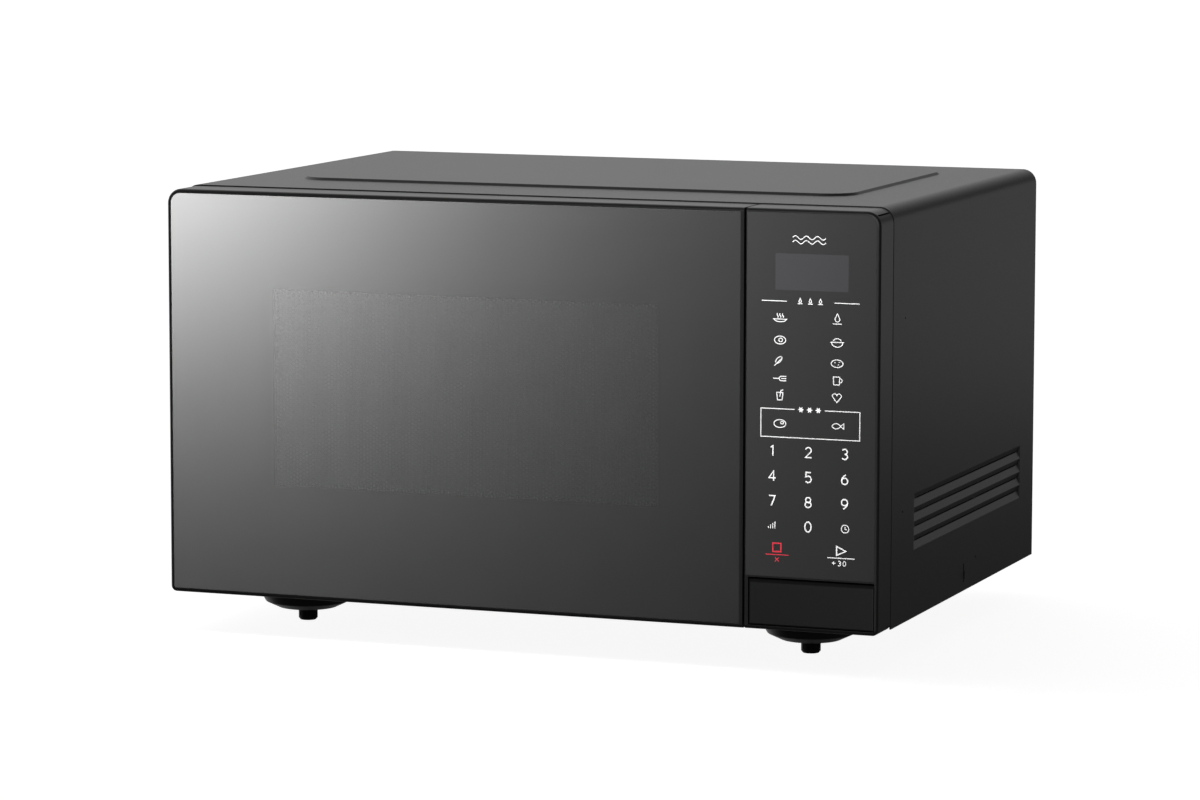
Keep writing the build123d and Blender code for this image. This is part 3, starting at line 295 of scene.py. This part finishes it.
def black_glass():
    """The door's glass: a black back print that thins to a smoky window over the screen."""
    made, shader = new_material("door_glass")
    tree = made.node_tree
    out = next(node for node in tree.nodes if node.type == "OUTPUT_MATERIAL")
    fine = noise(tree, 40.0, 3.0)
    tint = spread(tree, noise(tree, 9.0, 2.0), grey(0.0038), grey(0.0046))
    tree.links.new(tint, shader.inputs["Base Color"])
    shader.inputs["Specular IOR Level"].default_value = 0.0
    shader.inputs["Roughness"].default_value = 0.6
    place = tree.nodes.new("ShaderNodeTexCoord")
    split = tree.nodes.new("ShaderNodeSeparateXYZ")
    tree.links.new(place.outputs["Object"], split.inputs[0])
    low, high = case(WINDOW_X[0], 0, WINDOW_Z[0]), case(WINDOW_X[1], 0, WINDOW_Z[1])
    across = span(tree, split.outputs["X"], (low.x, high.x), WINDOW_SOFTNESS * MM)
    upright = span(tree, split.outputs["Z"], (low.z, high.z), WINDOW_SOFTNESS * MM)
    window = math_node(tree, "MULTIPLY", across, upright)
    outer_face = math_node(tree, "LESS_THAN", split.outputs["Y"], case(0, GLASS_MIDDLE, 0).y)
    smoke = spread(tree, outer_face, 0.0, SMOKE)
    clear = math_node(tree, "MULTIPLY", window, math_node(tree, "SUBTRACT", 1.0, smoke))
    tree.links.new(math_node(tree, "SUBTRACT", 1.0, clear), shader.inputs["Alpha"])
    gloss = tree.nodes.new("ShaderNodeBsdfGlossy")
    gloss.inputs["Color"].default_value = (1, 1, 1, 1)
    tree.links.new(spread(tree, fine, 0.34, 0.36), gloss.inputs["Roughness"])
    fresnel = tree.nodes.new("ShaderNodeFresnel")
    fresnel.inputs["IOR"].default_value = 1.73
    coat = tree.nodes.new("ShaderNodeMixShader")
    tree.links.new(math_node(tree, "MULTIPLY", fresnel.outputs[0], outer_face), coat.inputs[0])
    tree.links.new(shader.outputs[0], coat.inputs[1])
    tree.links.new(gloss.outputs[0], coat.inputs[2])
    tree.links.new(coat.outputs[0], out.inputs[0])
    return made


def clear_sheet(name, tint, roughness, alpha, specular=0.5):
    """Clear glass or film: mostly see-through, with a gloss on top."""
    made, shader = new_material(name)
    tree = made.node_tree
    mottle = noise(tree, 25.0, 3.0)
    deeper = tuple(channel * 0.92 for channel in tint)
    tree.links.new(spread(tree, mottle, deeper, tint), shader.inputs["Base Color"])
    fine = noise(tree, 60.0, 2.0)
    tree.links.new(spread(tree, fine, roughness * 0.8, roughness * 1.2), shader.inputs["Roughness"])
    shader.inputs["Alpha"].default_value = alpha
    shader.inputs["Specular IOR Level"].default_value = specular
    return made


def make_materials():
    """One finish for each material slot of the record."""
    made = [
        grained("case_paint", grey(0.012), grey(0.017), (0.34, 0.46), 900, 0.00002),
        grained("frame_paint", grey(0.012), grey(0.016), (0.36, 0.46), 900, 0.00002, specular=0.65),
        grained("cavity_enamel", (0.36, 0.37, 0.37), (0.42, 0.43, 0.43), (0.22, 0.34), 700, 0.00003),
        grained("galvanised_steel", (0.42, 0.44, 0.46), (0.60, 0.62, 0.64), (0.28, 0.48), 260, 0.00002, 1.0),
        grained("screen_steel", grey(0.004), grey(0.006), (0.4, 0.5), 900, 0.00001, specular=0.04),
        grained("screw_steel", grey(0.10), grey(0.16), (0.25, 0.4), 900, 0.00001, 1.0),
        grained("spring_steel", grey(0.45), grey(0.60), (0.2, 0.35), 900, 0.00001, 1.0),
        grained("motor_steel", grey(0.40), grey(0.50), (0.3, 0.45), 500, 0.00001, 1.0),
        grained("fin_aluminium", grey(0.66), grey(0.78), (0.25, 0.42), 400, 0.00001, 1.0),
        grained("ferrite", grey(0.03), grey(0.05), (0.55, 0.75), 500, 0.00004),
        grained("mica", (0.42, 0.36, 0.26), (0.60, 0.53, 0.42), (0.45, 0.65), 350, 0.00005),
        grained("black_plastic", grey(0.010), grey(0.014), (0.32, 0.44), 1500, 0.00001),
        grained("button_plastic", grey(0.009), grey(0.012), (0.34, 0.46), 1500, 0.00001),
        grained("foot_plastic", grey(0.006), grey(0.010), (0.5, 0.65), 1200, 0.00003),
        grained("latch_plastic", (0.60, 0.60, 0.57), (0.68, 0.68, 0.65), (0.4, 0.5), 900, 0.00001),
        grained("roller_plastic", grey(0.66), grey(0.74), (0.35, 0.5), 900, 0.00001),
        grained("duct_plastic", grey(0.16), grey(0.22), (0.45, 0.6), 700, 0.00002),
        grained("switch_plastic", grey(0.03), grey(0.05), (0.4, 0.55), 900, 0.00001),
        grained("panel_overlay", grey(0.005), grey(0.007), (0.36, 0.40), 1500, 0.000004, specular=0.68),
        grained("membrane_film", grey(0.30), grey(0.36), (0.3, 0.4), 900, 0.000004),
        grained("display_lens", (0.029, 0.029, 0.0315), (0.033, 0.033, 0.036), (0.3, 0.36), 900, 0.000003),
        grained("legend_white", grey(0.58), grey(0.64), (0.5, 0.6), 2500, 0.000002),
        grained("legend_red", (0.42, 0.004, 0.020), (0.47, 0.005, 0.024), (0.5, 0.6), 2500, 0.000002),
        grained("circuit_board", (0.02, 0.10, 0.05), (0.04, 0.15, 0.08), (0.35, 0.5), 600, 0.00002),
        grained("capacitor_sleeve", (0.015, 0.03, 0.09), (0.02, 0.04, 0.12), (0.3, 0.4), 500, 0.00001),
        clear_sheet("inner_film", (0.011, 0.019, 0.016), 0.38, 0.80, specular=0.23),
        clear_sheet("tray_glass", (0.70, 0.76, 0.75), 0.06, 0.35),
        black_glass(),
    ]
    return {material.name: material for material in made}


def dress_nodes(materials):
    """Every CAD node gets the finish of its slot in the record; the base pan's steel is painted."""
    slots = {entry["node"]: entry["material_slot"] for entry in frame["record"]["subparts"]}
    for name, node in frame["nodes"].items():
        node.data.materials.clear()
        finish = "case_paint" if name == "base_plate" else slots[name]
        node.data.materials.append(materials[finish])


def add_piece(name, mesh, body, slot, materials):
    """Puts a finished mesh in the scene, riding on its body, in its slot's finish."""
    piece = bpy.data.objects.new(name, mesh)
    bpy.context.scene.collection.objects.link(piece)
    mesh.materials.append(materials[slot])
    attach(piece, body)
    return piece


# ---------------------------------------------------------------- perforated door screen
def rounded_outline(x, z, radius, per_corner=6):
    """Points round a rectangle with rounded corners, the same number for every rectangle."""
    centres = (
        (x[1] - radius, z[1] - radius, 0),
        (x[0] + radius, z[1] - radius, 90),
        (x[0] + radius, z[0] + radius, 180),
        (x[1] - radius, z[0] + radius, 270),
    )
    points = []
    for centre_x, centre_z, start in centres:
        for step in range(per_corner + 1):
            angle = math.radians(start + 90 * step / per_corner)
            points.append((centre_x + radius * math.cos(angle), centre_z + radius * math.sin(angle)))
    return points


def ring_of(mesh, outline, depth):
    """A closed loop of mesh points at one depth behind the door's face."""
    return [mesh.verts.new(case(x, depth, z)) for x, z in outline]


def bridge(mesh, first, second):
    """A band of faces between two loops with the same number of points."""
    count = len(first)
    for here in range(count):
        after = (here + 1) % count
        mesh.faces.new((first[here], first[after], second[after], second[here]))


def perforated_field(mesh, x, z):
    """Hexagonal cells in a close-packed lattice, each with a hole through it."""
    column_step = HOLE_PITCH * math.sqrt(3) / 2
    cell_radius = HOLE_PITCH / math.sqrt(3)
    columns = round((x[1] - x[0]) / column_step) + 1
    rows = round((z[1] - z[0]) / HOLE_PITCH) + 1
    corners = {}

    def corner(point_x, point_z):
        key = (round(point_x * 20), round(point_z * 20))
        if key not in corners:
            corners[key] = mesh.verts.new(case(point_x, SCREEN_DEPTH, point_z))
        return corners[key]

    for column in range(columns):
        for row in range(rows):
            centre_x = x[0] + column * column_step
            centre_z = z[0] + (row + 0.5 * (column % 2)) * HOLE_PITCH
            cell, hole = [], []
            for side in range(HOLE_SIDES):
                angle = math.tau * side / HOLE_SIDES
                along, up = math.cos(angle), math.sin(angle)
                cell.append(corner(centre_x + cell_radius * along, centre_z + cell_radius * up))
                hole.append(
                    mesh.verts.new(
                        case(centre_x + HOLE_RADIUS * along, SCREEN_DEPTH, centre_z + HOLE_RADIUS * up)
                    )
                )
            bridge(mesh, cell, hole)


def make_screen(materials):
    """The stamped screen: perforated field, flat border, and the choke channel folded back."""
    low, high = SCREEN
    outer_x = ((low.x - LEFT) / MM, (high.x - LEFT) / MM)
    outer_z = ((low.z - BASE) / MM, (high.z - BASE) / MM)
    field = bmesh.new()
    perforated_field(field, WINDOW_X, WINDOW_Z)
    mesh = bpy.data.meshes.new("screen_perforated_field")
    field.to_mesh(mesh)
    field.free()
    perforated = add_piece("screen_perforated_field", mesh, "door", "screen_steel", materials)

    opening_x = (WINDOW_X[0] - BORDER_LAP, WINDOW_X[1] + BORDER_LAP)
    opening_z = (WINDOW_Z[0] - BORDER_LAP, WINDOW_Z[1] + HOLE_PITCH / 2 + BORDER_LAP)
    opening = rounded_outline(opening_x, opening_z, BORDER_CORNER)
    shell = bmesh.new()
    outer = rounded_outline(outer_x, outer_z, SCREEN_CORNER)
    border = ring_of(shell, outer, SCREEN_DEPTH + BORDER_SETBACK)
    bridge(shell, border, ring_of(shell, opening, SCREEN_DEPTH + BORDER_SETBACK))
    folded = ring_of(shell, outer, SCREEN_BACK)
    bridge(shell, folded, border)
    rim = rounded_outline(RIM_X, RIM_Z, SCREEN_CORNER)
    bridge(shell, ring_of(shell, rim, SCREEN_DEPTH + RIM_SETBACK), ring_of(shell, rim, SCREEN_BACK))
    mesh = bpy.data.meshes.new("screen_choke_channel")
    shell.to_mesh(mesh)
    shell.free()
    channel = add_piece("screen_choke_channel", mesh, "door", "screen_steel", materials)
    thickness = channel.modifiers.new("sheet", "SOLIDIFY")
    thickness.thickness = SCREEN_SHEET * MM
    thickness.offset = 0.0
    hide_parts("door_screen")

    film = bmesh.new()
    film_x = (WINDOW_X[0] - FILM_MARGIN, WINDOW_X[1] + FILM_MARGIN)
    film_z = (WINDOW_Z[0] - FILM_MARGIN, WINDOW_Z[1] + FILM_TOP_MARGIN)
    outline = rounded_outline(film_x, film_z, FILM_CORNER)
    film.faces.new(ring_of(film, outline, SCREEN_DEPTH + FILM_SETBACK))
    mesh = bpy.data.meshes.new("screen_splash_film")
    film.to_mesh(mesh)
    film.free()
    backing = add_piece("screen_splash_film", mesh, "door", "inner_film", materials)
    body = backing.modifiers.new("film", "SOLIDIFY")
    body.thickness = FILM_SHEET * MM
    body.offset = 0.0
    return perforated, channel, backing


# ---------------------------------------------------------------- button's return spring
# Millimetres. The front end sits behind the button's wall at rest.
SPRING_AT = (472.0, 18.0)
SPRING_DEPTHS = (8.9, 21.2)
SPRING_RADIUS = 4.6
SPRING_WIRE = 0.4
SPRING_TURNS = 6


def make_return_spring(materials):
    """The coil behind the button, set back from the CAD spring; a full press still touches it."""
    steps_per_turn, sides = 24, 8
    steps = SPRING_TURNS * steps_per_turn
    mesh = bmesh.new()
    rings = []
    for step in range(steps + 1):
        angle = math.tau * step / steps_per_turn
        depth = SPRING_DEPTHS[0] + (SPRING_DEPTHS[1] - SPRING_DEPTHS[0]) * step / steps
        ring = []
        for side in range(sides):
            turn = math.tau * side / sides
            reach = SPRING_RADIUS + SPRING_WIRE * math.cos(turn)
            x = SPRING_AT[0] + reach * math.cos(angle)
            z = SPRING_AT[1] + reach * math.sin(angle)
            ring.append(mesh.verts.new(case(x, depth + SPRING_WIRE * math.sin(turn), z)))
        rings.append(ring)
    for near, far in zip(rings, rings[1:]):
        bridge(mesh, near, far)
    mesh.faces.new(rings[0])
    mesh.faces.new(rings[-1])
    bmesh.ops.recalc_face_normals(mesh, faces=mesh.faces)
    data = bpy.data.meshes.new("button_return_spring")
    mesh.to_mesh(data)
    mesh.free()
    for face in data.polygons:
        face.use_smooth = True
    spring = add_piece("button_return_spring", data, "cabinet", "spring_steel", materials)
    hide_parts("button_spring")


# ---------------------------------------------------------------- printed legends
INK = 0.04
INK_THICKNESS = 0.03
DIGIT_HEIGHT = 7.4
DIGIT_STROKE = 0.86
ICON_STROKE = 0.56
ICON_SIZE = 10.4
DIGIT_COLUMNS = (439.7, 464.7, 489.8)
DIGIT_ROWS = (119.9, 103.3, 86.7, 70.4)
LABEL_COLUMNS = (444.6, 484.0)
LABEL_ROWS = (208.7, 193.5, 179.5, 168.1, 157.0)
LABEL_MIDDLE = sum(LABEL_COLUMNS) / 2
TITLE_Z = 260.0
GROUP_Z = 219.3
BOX_X = (431.6, 499.9)
BOX_Z = (129.2, 148.0)
BOX_LABEL_Z = 138.2
UNDERLINE_Z = 50.8
SMALL_MARK_Z = 47.3
SMALL_DIGIT = 3.4


def arc(x, z, rx, rz, start, end, steps=14):
    """Points along part of an ellipse; angles in degrees, anticlockwise from the right."""
    points = []
    for step in range(steps + 1):
        angle = math.radians(start + (end - start) * step / steps)
        points.append((x + rx * math.cos(angle), z + rz * math.sin(angle)))
    return points


def loop(x, z, rx, rz=None):
    """A whole ellipse, as a closed line."""
    return arc(x, z, rx, rz or rx, 0, 360, 24)


def digit_lines(digit):
    """The strokes of one numeral in a box one unit high."""
    if digit == 0:
        return [loop(0, 0, 0.29, 0.45)]
    if digit == 1:
        return [[(-0.15, 0.30), (0.05, 0.45), (0.05, -0.45)]]
    if digit == 2:
        return [arc(0, 0.19, 0.26, 0.26, 165, -35) + [(-0.28, -0.45), (0.29, -0.45)]]
    if digit == 3:
        return [arc(-0.02, 0.22, 0.24, 0.23, 150, -90), arc(-0.02, -0.22, 0.28, 0.23, 90, -150)]
    if digit == 4:
        return [[(0.13, -0.45), (0.13, 0.45), (-0.30, -0.19), (0.31, -0.19)]]
    if digit == 5:
        return [[(0.24, 0.45), (-0.20, 0.45), (-0.24, 0.06)] + arc(-0.01, -0.16, 0.28, 0.29, 130, -145)]
    if digit == 6:
        return [loop(0, -0.17, 0.28, 0.28), arc(0.36, -0.17, 0.64, 0.62, 112, 178)]
    if digit == 7:
        return [[(-0.28, 0.45), (0.28, 0.45), (-0.08, -0.45)]]
    if digit == 8:
        return [loop(0, 0.22, 0.23, 0.23), loop(0, -0.21, 0.28, 0.24)]
    return [[(-x, -z) for x, z in line] for line in digit_lines(6)]


def steaming_plate():
    """A plate with steam over it."""
    return [arc(0, -0.25, 0.8, 0.35, 180, 360), [(-0.95, -0.25), (0.95, -0.25)]] + [
        arc(x, 0.05, 0.08, 0.13, -90, 90, 6) + arc(x, 0.31, 0.08, 0.13, 270, 90, 6)
        for x in (-0.35, 0.0, 0.35)
    ]


def droplet():
    """A melting drop over a line."""
    return [[(0, 0.7), (-0.28, 0.12)] + arc(0, -0.02, 0.31, 0.31, 155, 385) + [(0, 0.7)],
            [(-0.6, -0.6), (0.6, -0.6)]]


def egg():
    """A fried egg."""
    return [loop(0, 0, 0.75, 0.5), loop(0.08, 0.02, 0.24)]


def rice_bowl():
    """A heaped bowl."""
    return [arc(0, 0, 0.75, 0.6, 180, 360), [(-0.9, 0), (0.9, 0)], arc(0, 0.05, 0.55, 0.42, 12, 168)]


def leaf():
    """A leaf and its midrib."""
    return [arc(0.25, -0.25, 0.85, 0.85, 95, 175), arc(-0.55, 0.5, 0.80, 0.80, -85, 5),
            [(-0.75, -0.6), (0.1, 0.25)]]


def potato():
    """A potato with three eyes."""
    eyes = [[(x, z), (x + 0.14, z)] for x, z in ((-0.35, 0.12), (0.1, -0.15), (0.25, 0.2))]
    return [loop(0, 0, 0.78, 0.48)] + eyes


def fork():
    """A fork lying on its side."""
    tines = [[(0.2, z), (0.85, z)] for z in (-0.28, 0.0, 0.28)]
    return tines + [arc(0.2, 0, 0.3, 0.28, 90, 270), [(-0.1, 0), (-0.9, 0)]]


def mug():
    """A mug with its handle."""
    return [[(-0.5, 0.5), (-0.42, -0.5), (0.3, -0.5), (0.38, 0.5), (-0.5, 0.5)],
            arc(0.36, 0.05, 0.32, 0.28, 80, -80)]


def tumbler():
    """A glass with a straw."""
    return [[(-0.42, 0.35), (-0.3, -0.6), (0.3, -0.6), (0.42, 0.35), (-0.42, 0.35)],
            [(0.0, -0.2), (0.16, 0.62), (0.45, 0.7)]]


def heart():
    """A heart for the favourite setting."""
    lobes = arc(-0.3, 0.2, 0.3, 0.3, 200, 10) + arc(0.3, 0.2, 0.3, 0.3, 170, -20)
    return [lobes + [(0, -0.6), (-0.58, 0.1)]]


def steak():
    """A steak with its bone."""
    return [loop(0, 0, 0.8, 0.5), loop(0.3, 0.12, 0.2, 0.16)]


def fish():
    """A fish with its tail."""
    return [arc(-0.15, -0.42, 0.7, 0.75, 35, 145), arc(-0.15, 0.42, 0.7, 0.75, 215, 325),
            [(0.42, 0.0), (0.85, 0.35), (0.85, -0.35), (0.42, 0.0)]]


def power_bars():
    """Rising bars for the power level."""
    return [[(x, -0.6), (x, top)] for x, top in ((-0.6, -0.25), (-0.2, 0.05), (0.2, 0.35), (0.6, 0.65))]


def clock():
    """A clock face with two hands."""
    return [loop(0, 0, 0.68, 0.68), [(0, 0.4), (0, 0), (0.3, -0.12)]]


def snowflake():
    """Three crossed strokes with a ring."""
    spokes = []
    for angle in (0, 60, 120):
        along, up = math.cos(math.radians(angle)), math.sin(math.radians(angle))
        spokes.append([(-0.75 * along, -0.75 * up), (0.75 * along, 0.75 * up)])
    return spokes + [loop(0, 0, 0.36)]


def waves():
    """Two rippling lines, the sign for microwaves."""
    lines = []
    for rise in (0.28, -0.28):
        line = []
        for step in range(33):
            turn = step / 32
            line.append((-2.2 + 4.4 * turn, rise + 0.22 * math.sin(turn * math.tau * 3)))
        lines.append(line)
    return lines


def ribbon(mesh, line, width):
    """A printed stroke of even width along a line of case x and z points."""
    closed = math.dist(line[0], line[-1]) < 1e-6
    points = line[:-1] if closed else line
    count = len(points)
    left, right = [], []
    for here, (x, z) in enumerate(points):
        before = points[here - 1] if here or closed else points[0]
        after = points[(here + 1) % count] if closed or here + 1 < count else points[-1]
        incoming = Vector((x - before[0], z - before[1]))
        outgoing = Vector((after[0] - x, after[1] - z))
        incoming = incoming.normalized() if incoming.length else outgoing.normalized()
        outgoing = outgoing.normalized() if outgoing.length else incoming
        across = Vector((-incoming.y - outgoing.y, incoming.x + outgoing.x)).normalized()
        mitre = max(0.5, across.dot(Vector((-incoming.y, incoming.x))))
        reach = across * (width / 2 / mitre)
        left.append(mesh.verts.new(case(x + reach.x, -INK, z + reach.y)))
        right.append(mesh.verts.new(case(x - reach.x, -INK, z - reach.y)))
    for here in range(count if closed else count - 1):
        after = (here + 1) % count
        mesh.faces.new((right[here], right[after], left[after], left[here]))


def place(lines, x, z, size):
    """Moves and scales strokes from their own unit box to a spot on the panel."""
    return [[(x + px * size, z + pz * size) for px, pz in line] for line in lines]


def rule(x0, x1, z):
    """A straight horizontal line."""
    return [(x0, z), (x1, z)]


def print_mesh(name, strokes, materials, slot):
    """One mesh of ink from (line, width) strokes, as thick as a screen print."""
    mesh = bmesh.new()
    for line, width in strokes:
        ribbon(mesh, line, width)
    data = bpy.data.meshes.new(name)
    mesh.to_mesh(data)
    mesh.free()
    piece = add_piece(name, data, "cabinet", slot, materials)
    ink = piece.modifiers.new("ink", "SOLIDIFY")
    ink.thickness = INK_THICKNESS * MM
    ink.offset = -1.0
    return piece


def white_strokes():
    """Every white mark on the control panel."""
    thin = []
    middle = LABEL_MIDDLE
    thin += place(waves(), middle, TITLE_Z, 5.2)
    thin += [rule(431.8, 449.0, GROUP_Z), rule(482.0, 499.0, GROUP_Z)]
    for offset in (-7.0, 0.0, 7.0):
        thin += place(droplet(), middle + 1.0 + offset, GROUP_Z + 0.3, 2.7)
    icons = (
        (steaming_plate, droplet), (egg, rice_bowl), (leaf, potato), (fork, mug), (tumbler, heart),
    )
    for row, pair in zip(LABEL_ROWS, icons):
        for column, icon in zip(LABEL_COLUMNS, pair):
            thin += place(icon(), column, row, ICON_SIZE / 2)
    box_left, box_right = BOX_X
    box_low, box_high = BOX_Z
    thin += [
        [
            (middle - 9.5, box_high), (box_left, box_high), (box_left, box_low),
            (box_right, box_low), (box_right, box_high), (middle + 11.5, box_high),
        ]
    ]
    for offset in (-6.0, 0.0, 6.0):
        thin += place(snowflake(), middle + 1.0 + offset, box_high, 2.5)
    thin += place(steak(), 444.8, BOX_LABEL_Z, ICON_SIZE / 2)
    thin += place(fish(), 484.5, BOX_LABEL_Z, ICON_SIZE / 2)
    thin += place(power_bars(), 439.5, DIGIT_ROWS[3], 3.8)
    thin += place(clock(), 490.3, DIGIT_ROWS[3], 3.8)
    thin += [rule(478.4, 497.0, UNDERLINE_Z)]
    thin += place([[(-0.5, 0), (0.5, 0)], [(0, -0.5), (0, 0.5)]], 482.6, SMALL_MARK_Z, 2.4)
    for digit, x in ((3, 486.6), (0, 490.0)):
        thin += place(digit_lines(digit), x, SMALL_MARK_Z, SMALL_DIGIT)
    strokes = [(line, ICON_STROKE) for line in thin]
    for digit in range(10):
        column, row = ((digit - 1) % 3, (digit - 1) // 3) if digit else (1, 3)
        numeral = place(digit_lines(digit), DIGIT_COLUMNS[column], DIGIT_ROWS[row], DIGIT_HEIGHT)
        strokes += [(line, DIGIT_STROKE) for line in numeral]
    start_sign = [(484.6, 58.6), (484.6, 52.6), (491.0, 55.6), (484.6, 58.6)]
    return strokes + [(start_sign, DIGIT_STROKE)]


def red_strokes():
    """The stop key: a square with a line and a small cross under it."""
    square = [(440.4, 52.8), (440.4, 58.4), (446.0, 58.4), (446.0, 52.8), (440.4, 52.8)]
    cross = place([[(-0.5, -0.5), (0.5, 0.5)], [(-0.5, 0.5), (0.5, -0.5)]], 443.2, 47.6, 2.6)
    strokes = [(square, DIGIT_STROKE), (rule(435.3, 451.4, UNDERLINE_Z), ICON_STROKE)]
    return strokes + [(line, ICON_STROKE) for line in cross]


# ---------------------------------------------------------------- the scene
make_world()
make_camera()
MATERIALS = make_materials()
make_floor()
dress_nodes(MATERIALS)
SCREEN_PIECES = make_screen(MATERIALS)
make_return_spring(MATERIALS)
WHITE_INK = print_mesh("printed_legends", white_strokes(), MATERIALS, "legend_white")
RED_INK = print_mesh("printed_stop_key", red_strokes(), MATERIALS, "legend_red")

NODES = frame["nodes"]
UNLIT = ("base_plate", "foot_")
FRONT_PANES = [NODES["door_glass"], NODES["control_panel_overlay"], NODES["display_window"]]
light_only(
    area_light("front_panel", (-0.449, -0.540, 0.633), (-0.05, -0.2, 0.15), (0.60, 1.26), 46),
    FRONT_PANES + [WHITE_INK, RED_INK, *SCREEN_PIECES],
    SCREEN_PIECES,
)
light_only(
    area_light("front_fill", (0.6, -2.2, 0.9), (0.0, 0.0, 0.15), (2.6, 1.8), 26),
    [piece for name, piece in NODES.items() if not name.startswith(UNLIT) and piece not in FRONT_PANES],
)
area_light("rear_right_panel", (0.80, 1.30, 0.19), (0.257, 0.1, 0.19), (0.8, 0.44), 0.29)

bpy.context.scene.view_settings.view_transform = "Standard"
